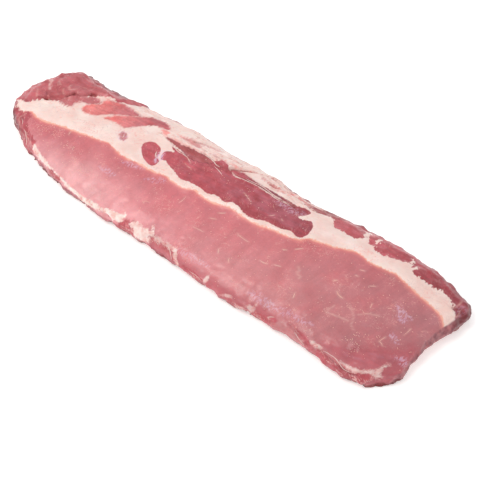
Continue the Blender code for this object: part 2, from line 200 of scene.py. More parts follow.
# Areas of tissue. Where two of one tissue overlap, the one that a place lies deeper in gives it its border
# and tone. Outlines run past the rim where the tissue does, and the plan folds the near side out.
PATCHES = (
    Patch("back fat", Tissue.FAT, (
        (-214, -30), (-203, -29), (-197, -25), (-188, -27), (-174, -25), (-161, -22), (-146, -19),
        (-134, -16), (-121, -14), (-113, -12), (-101, -14), (-88, -15), (-73, -13), (-58, -12), (-45, -10),
        (-37, -11), (-25, -11), (-16, -7), (-5, -8), (4, -7), (13, -5), (22, -3), (42, -3), (52, -1),
        (63, 2), (79, 5), (86, 8), (91, 13), (102, 17), (113, 20), (126, 26), (136, 27), (145, 26),
        (157, 28), (168, 30), (184, 28), (204, 26), (216, 24), (224, 18), (245, 12), (300, 80), (0, 160),
        (-300, 80), (-248, -22), (-226, -27))),
    Patch("shoulder lobe", Tissue.MUSCLE, (
        (-226, -20), (-218, -20), (-209, -20), (-203, -15), (-196, -9), (-191, -6), (-185, -3), (-180, 2),
        (-173, 5), (-168, 9), (-165, 15), (-160, 20), (-148, 28), (-134, 31), (-126, 38), (-122, 45),
        (-126, 76), (-190, 78), (-250, 40), (-255, -12)),
        Tone.DARK, Tone.ROSE, torn=1.6, lumps=2.0),
    Patch("foot of the lobe", Tissue.MUSCLE, (
        (-143, 30), (-134, 31), (-126, 38), (-118, 46), (-107, 50), (-103, 56), (-114, 58), (-121, 61),
        (-113, 65), (-98, 68), (-120, 76), (-140, 72)),
        torn=1.6, lumps=2.0),
    Patch("tongue", Tissue.MUSCLE, (
        (-184, -2), (-176, -4), (-170, -2), (-168, 4), (-164, 8), (-157, 10), (-151, 16), (-153, 20),
        (-160, 20), (-167, 13), (-174, 7), (-181, 4)),
        Tone.DUSKY, Tone.DUSKY, soft_mm=2.0, torn=2.0, share=0.95),
    Patch("upper streak", Tissue.MUSCLE, (
        (-159, 2), (-159, 8), (-155, 13), (-150, 17), (-149, 23), (-144, 26), (-134, 29), (-124, 30),
        (-112, 29), (-113, 26), (-120, 20), (-128, 15), (-139, 7), (-146, 2), (-154, 0)),
        Tone.SALMON, Tone.DUSKY, soft_mm=1.8, torn=1.1),
    Patch("lower streak", Tissue.MUSCLE, (
        (-136, 5.5), (-129, 12.5), (-120.5, 20.5), (-111.5, 27.5), (-102.5, 34), (-92.5, 37.5),
        (-84, 36.5), (-79.5, 32), (-83, 29), (-92, 26), (-100, 20), (-106.5, 12.5), (-112.5, 7.5),
        (-119, 8), (-127.5, 6.5)),
        Tone.SALMON, Tone.DARK, soft_mm=1.5, torn=1.1),
    Patch("spot", Tissue.MUSCLE, (
        (-83, 26), (-82, 29), (-77, 29), (-75, 26), (-79, 24)),
        Tone.SALMON, Tone.SALMON, soft_mm=1.2, share=0.8),
    Patch("cap streak", Tissue.MUSCLE, (
        (-70, 31.5), (-61, 34.5), (-56, 37.5), (-47, 37), (-44, 32.5), (-50, 30), (-58, 30.5)),
        Tone.SALMON, Tone.ROSE, soft_mm=1.7, torn=1.2, share=0.75),
    Patch("small island", Tissue.MUSCLE, (
        (-110, -1), (-110, 4), (-104, 4), (-101, -2), (-105, -4)),
        Tone.DARK, Tone.DARK, soft_mm=1.1, share=0.8),
    Patch("kidney", Tissue.MUSCLE, (
        (-84, 0), (-86, 5), (-83, 10), (-77, 12), (-70, 10), (-67, 5), (-66, 1), (-62, -1), (-61, -5),
        (-63, -9), (-69, -9), (-77, -6)),
        Tone.DARK, Tone.DARK, torn=0.3),
    Patch("island", Tissue.MUSCLE, (
        (-63, 2), (-65, 7), (-64, 11), (-60, 13), (-56, 11), (-56, 4), (-60, 1)),
        Tone.DARK, Tone.DARK, torn=0.3),
    Patch("wedge", Tissue.MUSCLE, (
        (-76, 22), (-67, 24), (-58, 24), (-48, 27), (-40, 28), (-32, 29), (-22, 28), (-17, 27), (-24, 23),
        (-34, 18), (-42, 17), (-52, 19), (-62, 20)),
        Tone.BROWN, Tone.BROWN, soft_mm=0.6, torn=0.5),
    Patch("long dark muscle", Tissue.MUSCLE, (
        (-56, 2), (-59, 8), (-58, 14), (-64, 18), (-54, 18), (-40, 19), (-30, 24), (-21, 30), (-19, 34),
        (-12, 33), (-8, 29), (2, 26), (14, 28), (24, 29), (36, 29), (47, 30), (58, 32), (67, 36.5),
        (72, 37.8), (75.5, 36), (73.5, 30), (71, 26.5), (71, 24.5), (75.5, 25), (79, 26.8), (82, 28.5),
        (86, 26), (88.5, 20), (88.5, 14), (84, 8.5), (76, 9), (69, 6), (60, 5), (52, 4), (44, 0), (34, -1),
        (26, 1), (19, 1), (13, -2), (4, -1), (-4, -4), (-14, -3), (-25, -4), (-33, -6), (-42, -3),
        (-50, -1)),
        torn=0.5),
    Patch("second flap", Tissue.MUSCLE, (
        (-7, 29.5), (-2, 32.6), (5, 34.4), (13, 34), (22, 33), (33, 33), (46, 33.4), (60, 34.4),
        (60, 32.4), (46, 31.2), (35, 30.4), (23, 29.4), (14, 28), (3, 27)),
        Tone.DARK, Tone.BROWN, soft_mm=0.6, torn=0.5),
    Patch("wedge fringe", Tissue.MUSCLE, (
        (-78, 22.5), (-68, 25), (-57, 25.6), (-47, 28.6), (-38, 29.8), (-38, 28.6), (-47, 27), (-57, 24),
        (-67, 23.6)),
        Tone.SALMON, Tone.SALMON, soft_mm=1.2, torn=0.5, share=0.6),
    Patch("cap lean", Tissue.MUSCLE, (
        (20, 39.5), (28, 41.5), (37, 39.5), (44, 41), (52, 40.5), (44, 39), (36, 37), (28, 39)),
        Tone.ROSE, Tone.SALMON, soft_mm=1.3, torn=2.0, share=0.55),
    # The fold shade patches are painted shade in the folds of the fat cap, laid in the muscle's rosy tones.
    Patch("fold shade 1", Tissue.MUSCLE, (
        (26, 39), (32, 42.5), (40, 45), (46, 50), (50, 49), (44, 44), (37, 40.5), (31, 38.5)),
        Tone.ROSE, Tone.SALMON, soft_mm=1.2, torn=1.6, share=0.7),
    Patch("fold shade 2", Tissue.MUSCLE, (
        (-4, 33), (4, 39.5), (11, 44.5), (19, 49), (26, 53), (24, 49), (17, 44.5), (9, 40), (2, 36)),
        Tone.SALMON, Tone.ROSE, soft_mm=1.0, torn=1.4, share=0.75),
    Patch("fold shade 3", Tissue.MUSCLE, (
        (44, 46), (54, 48), (64, 49), (74, 48), (72, 44.5), (62, 44)),
        Tone.SALMON, Tone.ROSE, soft_mm=1.4, torn=1.8, share=0.7),
    Patch("fold shade 4", Tissue.MUSCLE, (
        (-54, 36.5), (-46, 41), (-38, 46), (-28, 47), (-36, 42), (-44, 38)),
        Tone.ROSE, Tone.ROSE, soft_mm=1.2, torn=2.0, share=0.5),
    Patch("fold shade 5", Tissue.MUSCLE, (
        (-32, 33), (-20, 35), (-8, 36), (2, 38), (-8, 34), (-20, 32.5)),
        Tone.ROSE, Tone.SALMON, soft_mm=1.5, torn=2.0, share=0.5),
    Patch("far muscle", Tissue.MUSCLE, (
        (93, 52), (95, 44), (100, 37), (108, 38), (118, 37), (124, 43), (121, 50), (124, 57), (128, 46),
        (133, 41), (137, 42), (134, 49), (135, 57), (138, 48), (138, 39), (146, 38), (155, 40), (160, 43),
        (165, 45), (169, 48), (167, 54), (171, 52), (173, 44), (177, 49), (177, 41), (186, 40), (196, 41),
        (204, 44), (211, 42), (217, 41), (219, 36), (224, 33), (227, 27), (230, 20), (260, 30), (240, 90),
        (140, 90)),
        Tone.DUSKY, Tone.DEEP, torn=2.2, lumps=1.8),
    Patch("far strip", Tissue.MUSCLE, (
        (64, 43.5), (72, 42), (82, 43.5), (91, 45), (99, 43.5), (106, 48), (108, 64), (98, 72), (90, 63),
        (84, 60), (74, 52)),
        Tone.BROWN, Tone.BROWN, soft_mm=1.2, torn=1.6),
    Patch("belly flap", Tissue.MUSCLE, (
        (-222, -21), (-216, -27), (-206, -30), (-199, -27), (-194, -29), (-193, -35), (-188, -40),
        (-180, -44), (-172, -46), (-168, -52), (-170, -62), (-190, -64), (-215, -58), (-250, -30)),
        Tone.MAROON, Tone.DARK, soft_mm=1.0, torn=2.0, lumps=1.8),
    Patch("rim spot", Tissue.MUSCLE, (
        (-145, -65), (-140, -62), (-133, -63), (-127, -65), (-128, -68), (-136, -68)),
        Tone.DARK, Tone.DUSKY, soft_mm=1.0, share=0.95),
    Patch("rim speck", Tissue.MUSCLE, (
        (-68, -67), (-65, -64), (-61, -65), (-60, -68), (-65, -70)),
        Tone.DARK, Tone.DUSKY, soft_mm=0.9, share=0.9),
    Patch("edge lean 1", Tissue.MUSCLE, (
        (-53, -71), (-50, -66), (-46, -62), (-40, -59), (-37, -58), (-41, -61), (-43, -65), (-38, -65),
        (-36, -67), (-35, -72), (-38, -78), (-52, -78)),
        Tone.DARK, Tone.DUSKY, soft_mm=1.3, torn=1.5),
    Patch("edge lean 2", Tissue.MUSCLE, (
        (-20, -64), (-17, -60), (-10, -62), (-2, -60), (6, -62), (10, -67), (14, -71), (6, -69), (-4, -68),
        (-15, -68)),
        Tone.DUSKY, Tone.ROSE, soft_mm=1.0, share=0.85),
    Patch("edge lens", Tissue.MUSCLE, (
        (18, -71), (22, -69), (32, -68), (38, -69), (44, -71), (50, -73), (48, -77), (34, -77), (22, -75)),
        Tone.DARK, Tone.DUSKY, share=0.85),
    Patch("edge lean 3", Tissue.MUSCLE, (
        (64, -74), (70, -71), (79, -71), (81, -75), (74, -79), (66, -78)),
        Tone.DUSKY, Tone.DUSKY, soft_mm=1.0, share=0.6),
    Patch("edge lean 4", Tissue.MUSCLE, (
        (80, -70), (84, -68), (90, -67), (91, -71), (88, -73)),
        Tone.DUSKY, Tone.DUSKY, soft_mm=1.0, share=0.6),
    Patch("edge flap", Tissue.MUSCLE, (
        (94, -68), (98, -66), (106, -65), (113, -62), (117, -64), (113, -70), (104, -74), (96, -73)),
        Tone.DUSKY, Tone.DARK, soft_mm=1.2, share=0.75),
    Patch("edge lean 5", Tissue.MUSCLE, (
        (132, -61), (138, -59), (146, -60), (151, -64), (148, -67), (140, -66)),
        Tone.DARK, Tone.DARK, soft_mm=1.2, share=0.6),
    Patch("edge lean 6", Tissue.MUSCLE, (
        (158, -63), (167, -64), (179, -65), (190, -65), (195, -63), (193, -68), (188, -74), (176, -77),
        (160, -74)),
        soft_mm=0.7, share=0.9, lumps=1.2),
    Patch("corner lump", Tissue.MUSCLE, (
        (191, -66), (198, -59), (204, -57), (208, -60), (206, -66), (200, -76), (189, -76)),
        Tone.MAROON, Tone.DARK, soft_mm=0.9, share=0.95, lumps=1.8),
    Patch("lobe fat", Tissue.SINEW, (
        (-210, 11), (-206, 12), (-203, 7), (-199.5, 1), (-202, 1.5), (-206, 6)),
        soft_mm=1.2, share=0.55),
    Patch("rim fat", Tissue.SINEW, (
        (-170, -53), (-169, -49.5), (-161, -54), (-150, -58), (-139, -61.5), (-124, -64), (-108, -67),
        (-98, -68), (-86, -66), (-76, -66), (-66, -63), (-53, -60), (-52, -56), (-49, -60), (-51, -67),
        (-58, -70), (-70, -69), (-82, -72), (-98, -72), (-112, -70), (-124, -67), (-136, -63), (-148, -64),
        (-158, -61), (-168, -57)),
        soft_mm=1.0, torn=1.2),
    Patch("torn fat", Tissue.SINEW, (
        (-43, -65), (-41, -62), (-38, -58), (-30, -59), (-26, -59), (-22, -57), (-23, -52), (-20, -55),
        (-17, -60), (-20, -64), (-17, -68), (-21, -71), (-32, -72), (-35, -71), (-37, -66), (-40, -66)),
        soft_mm=1.2, torn=1.8, share=0.9),
    Patch("edge fray", Tissue.SINEW, (
        (-18, -60), (-8, -58.5), (0, -58), (6, -61), (2, -63.5), (-6, -63), (-14, -64)),
        soft_mm=1.3, torn=2.2, share=0.5),
    Patch("edge strip", Tissue.SINEW, (
        (4, -59), (7, -58), (10, -62), (13, -68), (16, -72), (13, -72), (9, -68), (7, -63)),
        soft_mm=0.9, share=0.85),
    Patch("edge corner", Tissue.SINEW, (
        (39, -69), (43, -69), (46, -62), (47, -66), (46, -71), (44, -71)),
        soft_mm=0.9, share=0.75),
    Patch("edge curl 1", Tissue.SINEW, (
        (62, -73), (67, -69), (72, -67), (74, -69), (69, -71)),
        soft_mm=1.0, share=0.5),
    Patch("edge hem", Tissue.SINEW, (
        (77, -75), (82, -71), (90, -72), (87, -74), (83, -75)),
        soft_mm=1.0, share=0.45),
    Patch("edge fork", Tissue.SINEW, (
        (84, -68), (89, -66), (87, -60), (89, -61), (91, -65), (93, -64), (94, -59), (95, -60), (95, -69),
        (92, -72), (90, -69)),
        soft_mm=1.2, share=0.5),
    Patch("edge curl 2", Tissue.SINEW, (
        (112, -70), (116, -65), (118, -62), (124, -61), (128, -61), (134, -62), (140, -65), (149, -69),
        (140, -70), (125, -71)),
        soft_mm=1.8, torn=1.6, share=0.16),
    Patch("edge spot", Tissue.SINEW, (
        (148, -61), (153, -60), (161, -60), (157, -64), (152, -64)),
        soft_mm=1.0, share=0.6),
    Patch("corner fat", Tissue.SINEW, (
        (178, -62), (185, -61), (192, -59), (198, -56), (203, -52), (207, -46), (209, -40), (211, -37),
        (210, -42), (209, -49), (212, -53), (213, -54), (209, -59), (205, -57), (200, -57), (194, -63),
        (186, -64)),
        soft_mm=1.6, torn=1.5, share=0.65),
    # Blush patches: a deeper red, partly the lean's own colour and partly painted shade; corner shade is
    # painted shade only.
    Patch("end blush", Tissue.BLUSH_AND_SHADE, (
        (158, -58), (166, -50), (176, -43), (186, -36), (198, -27), (210, -15), (222, -10), (232, -24),
        (222, -48), (208, -62), (190, -62), (174, -62)),
        soft_mm=7.0, torn=2.0, share=0.75),
    Patch("edge blush", Tissue.BLUSH_AND_SHADE, (
        (-22, -58), (-14, -57), (0, -60), (14, -63), (30, -65), (50, -64), (70, -62), (95, -60),
        (118, -59), (135, -57), (150, -62), (150, -80), (-20, -80)),
        soft_mm=5.0, torn=2.0, share=0.7),
    Patch("corner shade", Tissue.BLUSH_AND_SHADE, (
        (206, -58), (208, -48), (212, -38), (216, -30), (217, -23), (228, -24), (232, -44), (216, -70)),
        soft_mm=3.0, torn=1.5),
    # Patches of painted sheen: a lilac painted reflection of the light on the wet meat, laid into the colour.
    Patch("film on the small island", Tissue.PAINTED_SHEEN, (
        (-113, 0), (-110, 6), (-103, 6), (-100, -3), (-106, -6)),
        soft_mm=2.0, torn=1.4, share=0.35),
    Patch("film by the kidney", Tissue.PAINTED_SHEEN, (
        (-69, 2), (-68, 8), (-64, 10), (-61, 2), (-61, -4), (-65, -5)),
        soft_mm=1.2, share=0.75),
    Patch("film on the dark muscle", Tissue.PAINTED_SHEEN, (
        (44, 26), (54, 30), (64, 32), (74, 33), (72, 28), (62, 24)),
        soft_mm=2.0, torn=1.4, share=0.4),
    Patch("film on the roll", Tissue.PAINTED_SHEEN, (
        (219, 40), (223, 46), (229, 42), (231, 30), (227, 26), (223, 33)),
        soft_mm=1.5, share=0.22),
    Patch("film by the seam 1", Tissue.PAINTED_SHEEN, (
        (-91, -20), (-82, -17), (-72, -15.5), (-66, -14.5), (-69, -17), (-74, -19), (-84, -21)),
        soft_mm=1.8, torn=1.4, share=0.5),
    Patch("film by the seam 2", Tissue.PAINTED_SHEEN, (
        (-61, -22), (-56, -18), (-50, -15.5), (-44, -13), (-44, -16), (-52, -20)),
        soft_mm=1.8, torn=1.4, share=0.5),
    Patch("film left", Tissue.PAINTED_SHEEN, (
        (-103, -34), (-95, -31.5), (-85, -33), (-84, -35.5), (-95, -37)),
        soft_mm=1.8, torn=1.4, share=0.5),
    Patch("film middle", Tissue.PAINTED_SHEEN, (
        (7, -58), (17, -55), (30, -54), (43, -54), (40, -58), (25, -60), (12, -61)),
        soft_mm=2.4, torn=2.0, share=0.38),
    Patch("film near edge", Tissue.PAINTED_SHEEN, (
        (84, -53), (94, -50), (106, -51), (116, -49), (127, -48), (142, -47), (138, -51), (122, -54),
        (104, -58), (88, -58)),
        soft_mm=2.4, torn=2.0, share=0.42),
    Patch("film right", Tissue.PAINTED_SHEEN, (
        (184, 9), (192, 8), (200, 7), (200, 2), (197, -2), (191, -1), (187, 4)),
        soft_mm=1.8, torn=1.4, share=0.5),
    Patch("film end", Tissue.PAINTED_SHEEN, (
        (193, -15), (199, -13.5), (204, -17), (203, -20), (197, -19)),
        soft_mm=1.8, torn=1.4, share=0.5),
    Patch("film groove", Tissue.PAINTED_SHEEN, (
        (209, -29), (217, -24), (221, -25), (219, -31), (212, -32)),
        soft_mm=1.8, torn=1.4, share=0.5),
)

# Folds, gaps and seams, dented into the mesh and darkened with painted shade: a deep one shows as a dark
# line, a shallow one is hardly more than a dent.
CREASES = (
    Crease(((-199, -3.5), (-196.5, -6), (-195, -8)), 1.1, 1.0),
    Crease(((-196.5, -8.7), (-194.5, -8), (-192.5, -6.5)), 2.2, 1.0),
    Crease(((-175.5, 9), (-177.5, 7), (-180, 4)), 1.9, 1.3),
    Crease(((-175.5, 9), (-169, 12), (-162.5, 19)), 0.7, 1.3),
    Crease(((-163.5, 18), (-160.5, 21.5)), 1.3, 1.0),
    Crease(((-175, 37), (-164, 30), (-156, 31)), 0.6, 1.8),
    Crease(((-214, -20), (-203, -15), (-196, -9), (-186, -2), (-181, 2)), 0.5, 1.4),
    Crease(((-148, 28), (-134, 31), (-127, 38)), 0.6, 1.2),
    Crease(((-214, -27), (-205, -31), (-199, -36), (-196, -42), (-190, -46)), 0.6, 1.6),
    Crease(((-190, -39), (-186, -44), (-178, -48)), 0.5, 1.4),
    Crease(((-9, 29.5), (0, 27), (7, 28.3), (15, 29.8), (25, 31.2), (34, 30.8), (43, 30), (52, 31),
            (62, 32.5)), 0.8, 1.1),
    Crease(((-8, 29.5), (-3, 32), (4.5, 33.6), (16.5, 34), (26, 34.5)), 0.8, 1.3),
    Crease(((30, 40), (35, 40.5), (40.5, 44), (47, 46.5), (56, 46)), 1.6, 1.5),
    Crease(((24, 51.5), (32, 50), (40, 46.5), (46, 48.5)), 0.9, 1.2),
    Crease(((64, 40.5), (67, 46), (72, 51), (83, 55)), 1.1, 1.2),
    Crease(((-54, 37), (-49, 39.5), (-45, 44)), 1.2, 1.0),
    Crease(((34, 36), (46, 38.5), (60, 37)), 0.7, 1.4),
    Crease(((-6.5, 30.5), (-0.5, 36.5), (8, 41.5), (15.5, 45.5), (21.5, 49.5), (29, 50)), 1.8, 1.6),
    Crease(((65, 42), (75, 41), (83, 47)), 0.8, 1.3),
    Crease(((-95, 49), (-77.5, 49.5), (-60, 53)), 0.8, 1.4),
    Crease(((-37.5, 30), (-27.5, 28.5), (-19.5, 26.5), (-14, 27)), 1.0, 1.0),
    Crease(((-30, 25), (-19, 25), (-8, 25.5)), 0.6, 1.0),
    Crease(((127, -59), (134, -61), (141, -63), (148, -66)), 0.6, 1.3),
    Crease(((158, -63), (166, -64), (180, -66), (190, -66), (195, -64)), 0.9, 1.4),
    Crease(((188, -41), (199, -33), (207, -28), (214, -23)), 0.5, 1.6),
    Crease(((218, 36), (223, 40), (228, 39)), 0.9, 1.3),
)

# Sinew that lies on the top and is thick enough to stand out from it.
STRANDS = (
    Strand(((-201, -34.5), (-197.5, -37), (-195.5, -39.5)), 1.2),
    Strand(((-190, -42.5), (-186.5, -44), (-183, -47), (-182.5, -49)), 1.3),
    Strand(((-210, -36), (-206, -38.5), (-202, -39.5)), 0.9),
    Strand(((-76, 22), (-67, 20), (-61, 18), (-55.5, 16.8), (-50.5, 17.5), (-45.5, 17), (-39.5, 14)), 0.9),
    Strand(((-35, 28.7), (-30, 28.6), (-25, 28), (-20, 26.5), (-16, 26.4)), 1.6),
    Strand(((-20.5, 24), (-16, 23), (-12, 21.8), (-8, 20)), 1.0),
    Strand(((-10, 31.5), (-5, 28.5), (0, 27), (7, 27.4), (14, 28.4), (20, 29.4), (28, 29.8), (36, 29.4),
            (44, 28.8), (52, 29.8), (60, 31.5)), 1.2),
    Strand(((10, 29.8), (16, 30.6), (24.5, 32.2), (33, 31.8), (42, 30.8), (49, 30.8)), 1.2),
    Strand(((-71, 6), (-69, 2), (-65.5, 0)), 1.6),
    Strand(((-106.5, 2), (-105.5, -1)), 1.2),
    Strand(((-19, -58.5), (-14.5, -58.2), (-9.5, -58.4)), 1.2),
    Strand(((-16, -60.5), (-12.5, -60.4), (-9, -61.2)), 0.9),
    Strand(((-13.5, -58.8), (-10, -59), (-7.5, -60.5)), 0.8),
    Strand(((-3.5, -58), (1, -59), (5, -61.5), (9, -65), (11.5, -68.5)), 1.1),
    Strand(((27, -63.7), (33, -63.9), (38, -64.2), (44, -64.9)), 1.0),
    Strand(((107, -60), (109.5, -58.4), (113, -57.3)), 1.0),
    Strand(((133, -57.7), (138, -59.5), (143, -61), (148, -62)), 0.9),
    Strand(((160, -57.7), (167, -57.9), (173, -58.1), (179, -59.6), (184, -60.3), (188, -60),
            (192, -59)), 1.0),
    Strand(((206, -47), (208, -43), (210, -39)), 0.9),
)

# The larger strokes of fat in the lean, which also show through the finish round them.
MARBLING = (
    Strand(((41, -18), (46, -19), (54, -19)), 0.8), Strand(((38, -38), (40.5, -42)), 0.9),
    Strand(((50.5, -40.5), (53.5, -44)), 0.8), Strand(((72, -26.5), (76.5, -26.5), (79.5, -25)), 0.8),
    Strand(((12, -19.5), (17, -17.5)), 0.9), Strand(((15, -12), (20, -9)), 0.8),
    Strand(((-19, -23.5), (-18, -20.5), (-18, -15.5)), 0.7),
    Strand(((7, -34.5), (12, -33.6), (17, -33)), 0.7),
    Strand(((139.5, -11.5), (143, -13.5), (147.5, -14)), 1.4), Strand(((131, -5.5), (134, -3)), 0.9),
    Strand(((115.5, -37.5), (114, -33)), 0.9), Strand(((170, -8), (168.5, -3.5)), 0.8),
    Strand(((88.5, -1.5), (93.5, 3.5)), 0.9), Strand(((80.5, -7.5), (84, -6)), 0.8),
    Strand(((84, -23), (90, -21)), 0.8), Strand(((142.5, 15), (146.5, 16.5)), 0.9),
    Strand(((142.5, 8.5), (145, 9)), 0.9), Strand(((192.5, -26.5), (193.5, -26.5), (197, -28)), 1.0),
    Strand(((192.5, -26.5), (194, -20.5)), 0.9), Strand(((157.5, 7.5), (162, 11)), 0.7),
    Strand(((204, -10), (205, -2)), 0.7), Strand(((-150, -22), (-149, -26)), 0.8),
    Strand(((-52, 18), (-45, 17), (-38, 13.5)), 0.6), Strand(((-42, 10), (-36, 9), (-32, 8)), 0.5),
    Strand(((20, 16), (25, 14), (32, 11)), 0.6), Strand(((52, 10), (55, 14)), 0.5),
    Strand(((62, 14), (64, 13)), 0.7),
)

# Lumps and hollows of the fat cap and the rim.
MOUNDS = (
    Mound(-193, 31, 2.4, 8), Mound(-224, -12, -2.0, 9), Mound(-124, 40, 1.0, 7), Mound(-88, 44, 0.9, 9),
    Mound(-62, 47, 1.8, 10), Mound(-38, 47, -0.6, 9), Mound(3, 49, 1.9, 7), Mound(42, 50, -1.4, 8),
    Mound(91, 49, 1.6, 7), Mound(113, 54, 1.7, 9), Mound(145, 57, 1.4, 11), Mound(-150, -62, -1.6, 8),
    Mound(-106, -68, -1.4, 6), Mound(-4, -68, -1.8, 8), Mound(210, -52, -2.2, 8), Mound(221, -40, -1.6, 8),
    Mound(231, 31, -1.6, 6), Mound(227, 47, 1.4, 7),
)

# Lines of sinew and fat that only show through the finish.
TRACES = (
    Strand(((-185, 12), (-181.5, 10), (-178.5, 13.5)), 1.1), Strand(((-208.5, -5), (-203.5, -12)), 1.0),
    Strand(((-200.5, 14), (-194.5, 10)), 0.9), Strand(((-186, 15), (-185, 12)), 1.2),
    Strand(((-188, 8), (-186, 5), (-184, 4)), 0.8), Strand(((-176, 22), (-172, 20)), 0.8),
    Strand(((-201, -30), (-204, -35), (-201, -39), (-196, -43)), 1.0),
    Strand(((-214, -33), (-212, -38), (-206, -41)), 0.9), Strand(((-196, -45), (-190, -49)), 0.9),
    Strand(((-186, -48), (-181, -50), (-178, -54)), 0.8), Strand(((-176, -50), (-173, -54)), 0.8),
    Strand(((206, 32), (213, 35), (219, 34)), 1.0), Strand(((219.5, 48.5), (220.5, 42.5), (219, 37)), 1.2),
    Strand(((101, -12.5), (104, -15), (103.5, -17.5), (108, -19), (108, -21)), 1.3),
    Strand(((146, -22.5), (144.5, -27.5), (144, -31), (154, -29), (163, -27.5)), 0.9),
    Strand(((166, -18.5), (171, -13.5), (179, -9)), 0.8),
    Strand(((156, -16), (164, -22), (167, -29), (171, -31)), 0.8),
    Strand(((226, 20), (229, 26), (228, 33)), 0.9), Strand(((223, 28), (226, 34), (224, 40)), 0.8),
)

# Where the flecks of marbling crowd.
CLUSTERS = (
    Cluster(-160, -32.5, 4), Cluster(-168.5, -28, 3.5), Cluster(-157, -26.5, 3), Cluster(-142.5, -36, 3.5),
    Cluster(-135, -36, 3.5), Cluster(-127, -34, 3), Cluster(-174, -31.5, 3), Cluster(-178.5, -33, 3),
    Cluster(-123, -44.5, 3.5), Cluster(-114, -47, 3.5), Cluster(175, -33, 2), Cluster(182, -29.5, 2),
    Cluster(189.5, -24.5, 2), Cluster(178, -42, 5), Cluster(-12, 16.5, 4), Cluster(2, 17, 4),
    Cluster(21, 19, 4), Cluster(50, 22, 5),
)


def linear(code: str) -> tuple[float, float, float, float]:
    """Turn an sRGB hex colour into linear RGBA.

    Args:
        code: The colour as "#rrggbb".

    Returns:
        Red, green, blue and an alpha of 1, linear.
    """
    shares = (int(code[i:i + 2], 16) / 255 for i in (1, 3, 5))
    return (*(s / 12.92 if s <= 0.04045 else ((s + 0.055) / 1.055) ** 2.4 for s in shares), 1.0)


def add(tree: Tree, kind: str, inputs: dict[int | str, Any] | None = None, out: int | str = 0,
        **settings: Any) -> Any:
    """Add a node with its settings and links.

    Args:
        tree: The shader or geometry tree.
        kind: The node's type.
        inputs: Values, or sockets to link from, by the input's name or number.
        out: Which output is wanted, by name or number; its node is the result's .node.
        **settings: The node's own properties.

    Returns:
        The output socket, or the node where it has none.
    """
    node = tree.nodes.new(kind)
    for name, value in settings.items():
        setattr(node, name, value)
    for name, value in (inputs or {}).items():
        if isinstance(value, Socket):
            tree.links.new(value, node.inputs[name])
        else:
            node.inputs[name].default_value = value
    return node.outputs[out] if node.outputs else node


def smooth(share: np.ndarray) -> np.ndarray:
    """Ease from 0 to 1 as share goes from 0 to 1."""
    share = np.clip(share, 0.0, 1.0)
    return share * share * (3.0 - 2.0 * share)


def across(depth: np.ndarray, width: float, at: float = 0.5) -> np.ndarray:
    """Ease from 0 to 1 over width as depth rises past a border, which lies the share at of the way."""
    return smooth(depth / width + at)


def bell(distance: np.ndarray, width: float) -> np.ndarray:
    """A soft bump of 1 at no distance that fades over width."""
    return np.exp(-(distance / width) ** 2)


def rounded(points: Sequence[Sequence[float]], closed: bool, parts: int = 5) -> np.ndarray:
    """Run a smooth curve through points.

    Args:
        points: The points, each of two or three numbers.
        closed: True if the curve returns to its first point.
        parts: How many steps each span is split into.

    Returns:
        The curve's points, a row for each.
    """
    cage = np.array(points, float)
    if closed:
        cage = np.vstack([cage[-1:], cage, cage[:2]])
    else:
        cage = np.vstack([2 * cage[0] - cage[1], cage, 2 * cage[-1] - cage[-2]])
    t = np.linspace(0.0, 1.0, parts, endpoint=False)[:, None]
    spans = []
    for before, start, end, after in zip(cage, cage[1:], cage[2:], cage[3:]):
        bend = 2 * before - 5 * start + 4 * end - after
        twist = 3 * (start - end) + after - before
        spans.append(0.5 * (2 * start + (end - before) * t + bend * t**2 + twist * t**3))
    if not closed:
        spans.append(cage[-2:-1])
    return np.vstack(spans)


def near_line(places: np.ndarray, line: np.ndarray, closed: bool, reach: float) -> np.ndarray:
    """Measure how far places lie from a line, with a sign that tells its two sides apart.

    Args:
        places: Plan points, a row for each.
        line: The line's points, a row for each.
        closed: True if the line is an outline.
        reach: How far from the line it is worth measuring.

    Returns:
        The distance of each place, above 0 inside an outline or to the left of an open line. Outside an
        outline and beside an open line it is cut off at reach, where its sign means nothing.
    """
    found = np.full(len(places), -reach)
    close = np.all((places > line.min(0) - reach) & (places < line.max(0) + reach), axis=1)
    px, py = places[close, 0], places[close, 1]
    starts = line if closed else line[:-1]
    ends = np.roll(line, -1, axis=0) if closed else line[1:]
    nearest = np.full(len(px), np.inf)
    side = np.full(len(px), closed)
    inside = np.zeros(len(px), bool)
    for (sx, sy), (ex, ey) in zip(starts, ends):
        rx, ry = ex - sx, ey - sy
        share = np.clip(((px - sx) * rx + (py - sy) * ry) / max(rx * rx + ry * ry, TINY), 0.0, 1.0)
        away = (px - sx - share * rx) ** 2 + (py - sy - share * ry) ** 2
        if not closed:
            side = np.where(away < nearest, rx * (py - sy) > ry * (px - sx), side)
        elif ry:
            inside ^= ((sy > py) != (ey > py)) & (px < sx + (py - sy) * rx / ry)
        nearest = np.minimum(nearest, away)
    found[close] = np.where(inside if closed else side, 1.0, -1.0) * np.sqrt(nearest)
    return np.clip(found, -reach, np.inf if closed else reach)


def rows_of(items: Any, field: str) -> np.ndarray:
    """Read one vector of each item of a mesh.

    Args:
        items: The mesh's vertices or their normals.
        field: The vector's name.

    Returns:
        The vectors, a row for each.
    """
    flat = np.empty(len(items) * 3, np.float32)
    items.foreach_get(field, flat)
    return flat.reshape(-1, 3).astype(float)


def places_of(mesh: bpy.types.Mesh) -> np.ndarray:
    """The vertices of a mesh in millimetres, a row for each."""
    return rows_of(mesh.vertices, "co") / MM


def normals_of(mesh: bpy.types.Mesh) -> np.ndarray:
    """The vertex normals of a mesh, a row for each."""
    return rows_of(mesh.vertex_normals, "vector")


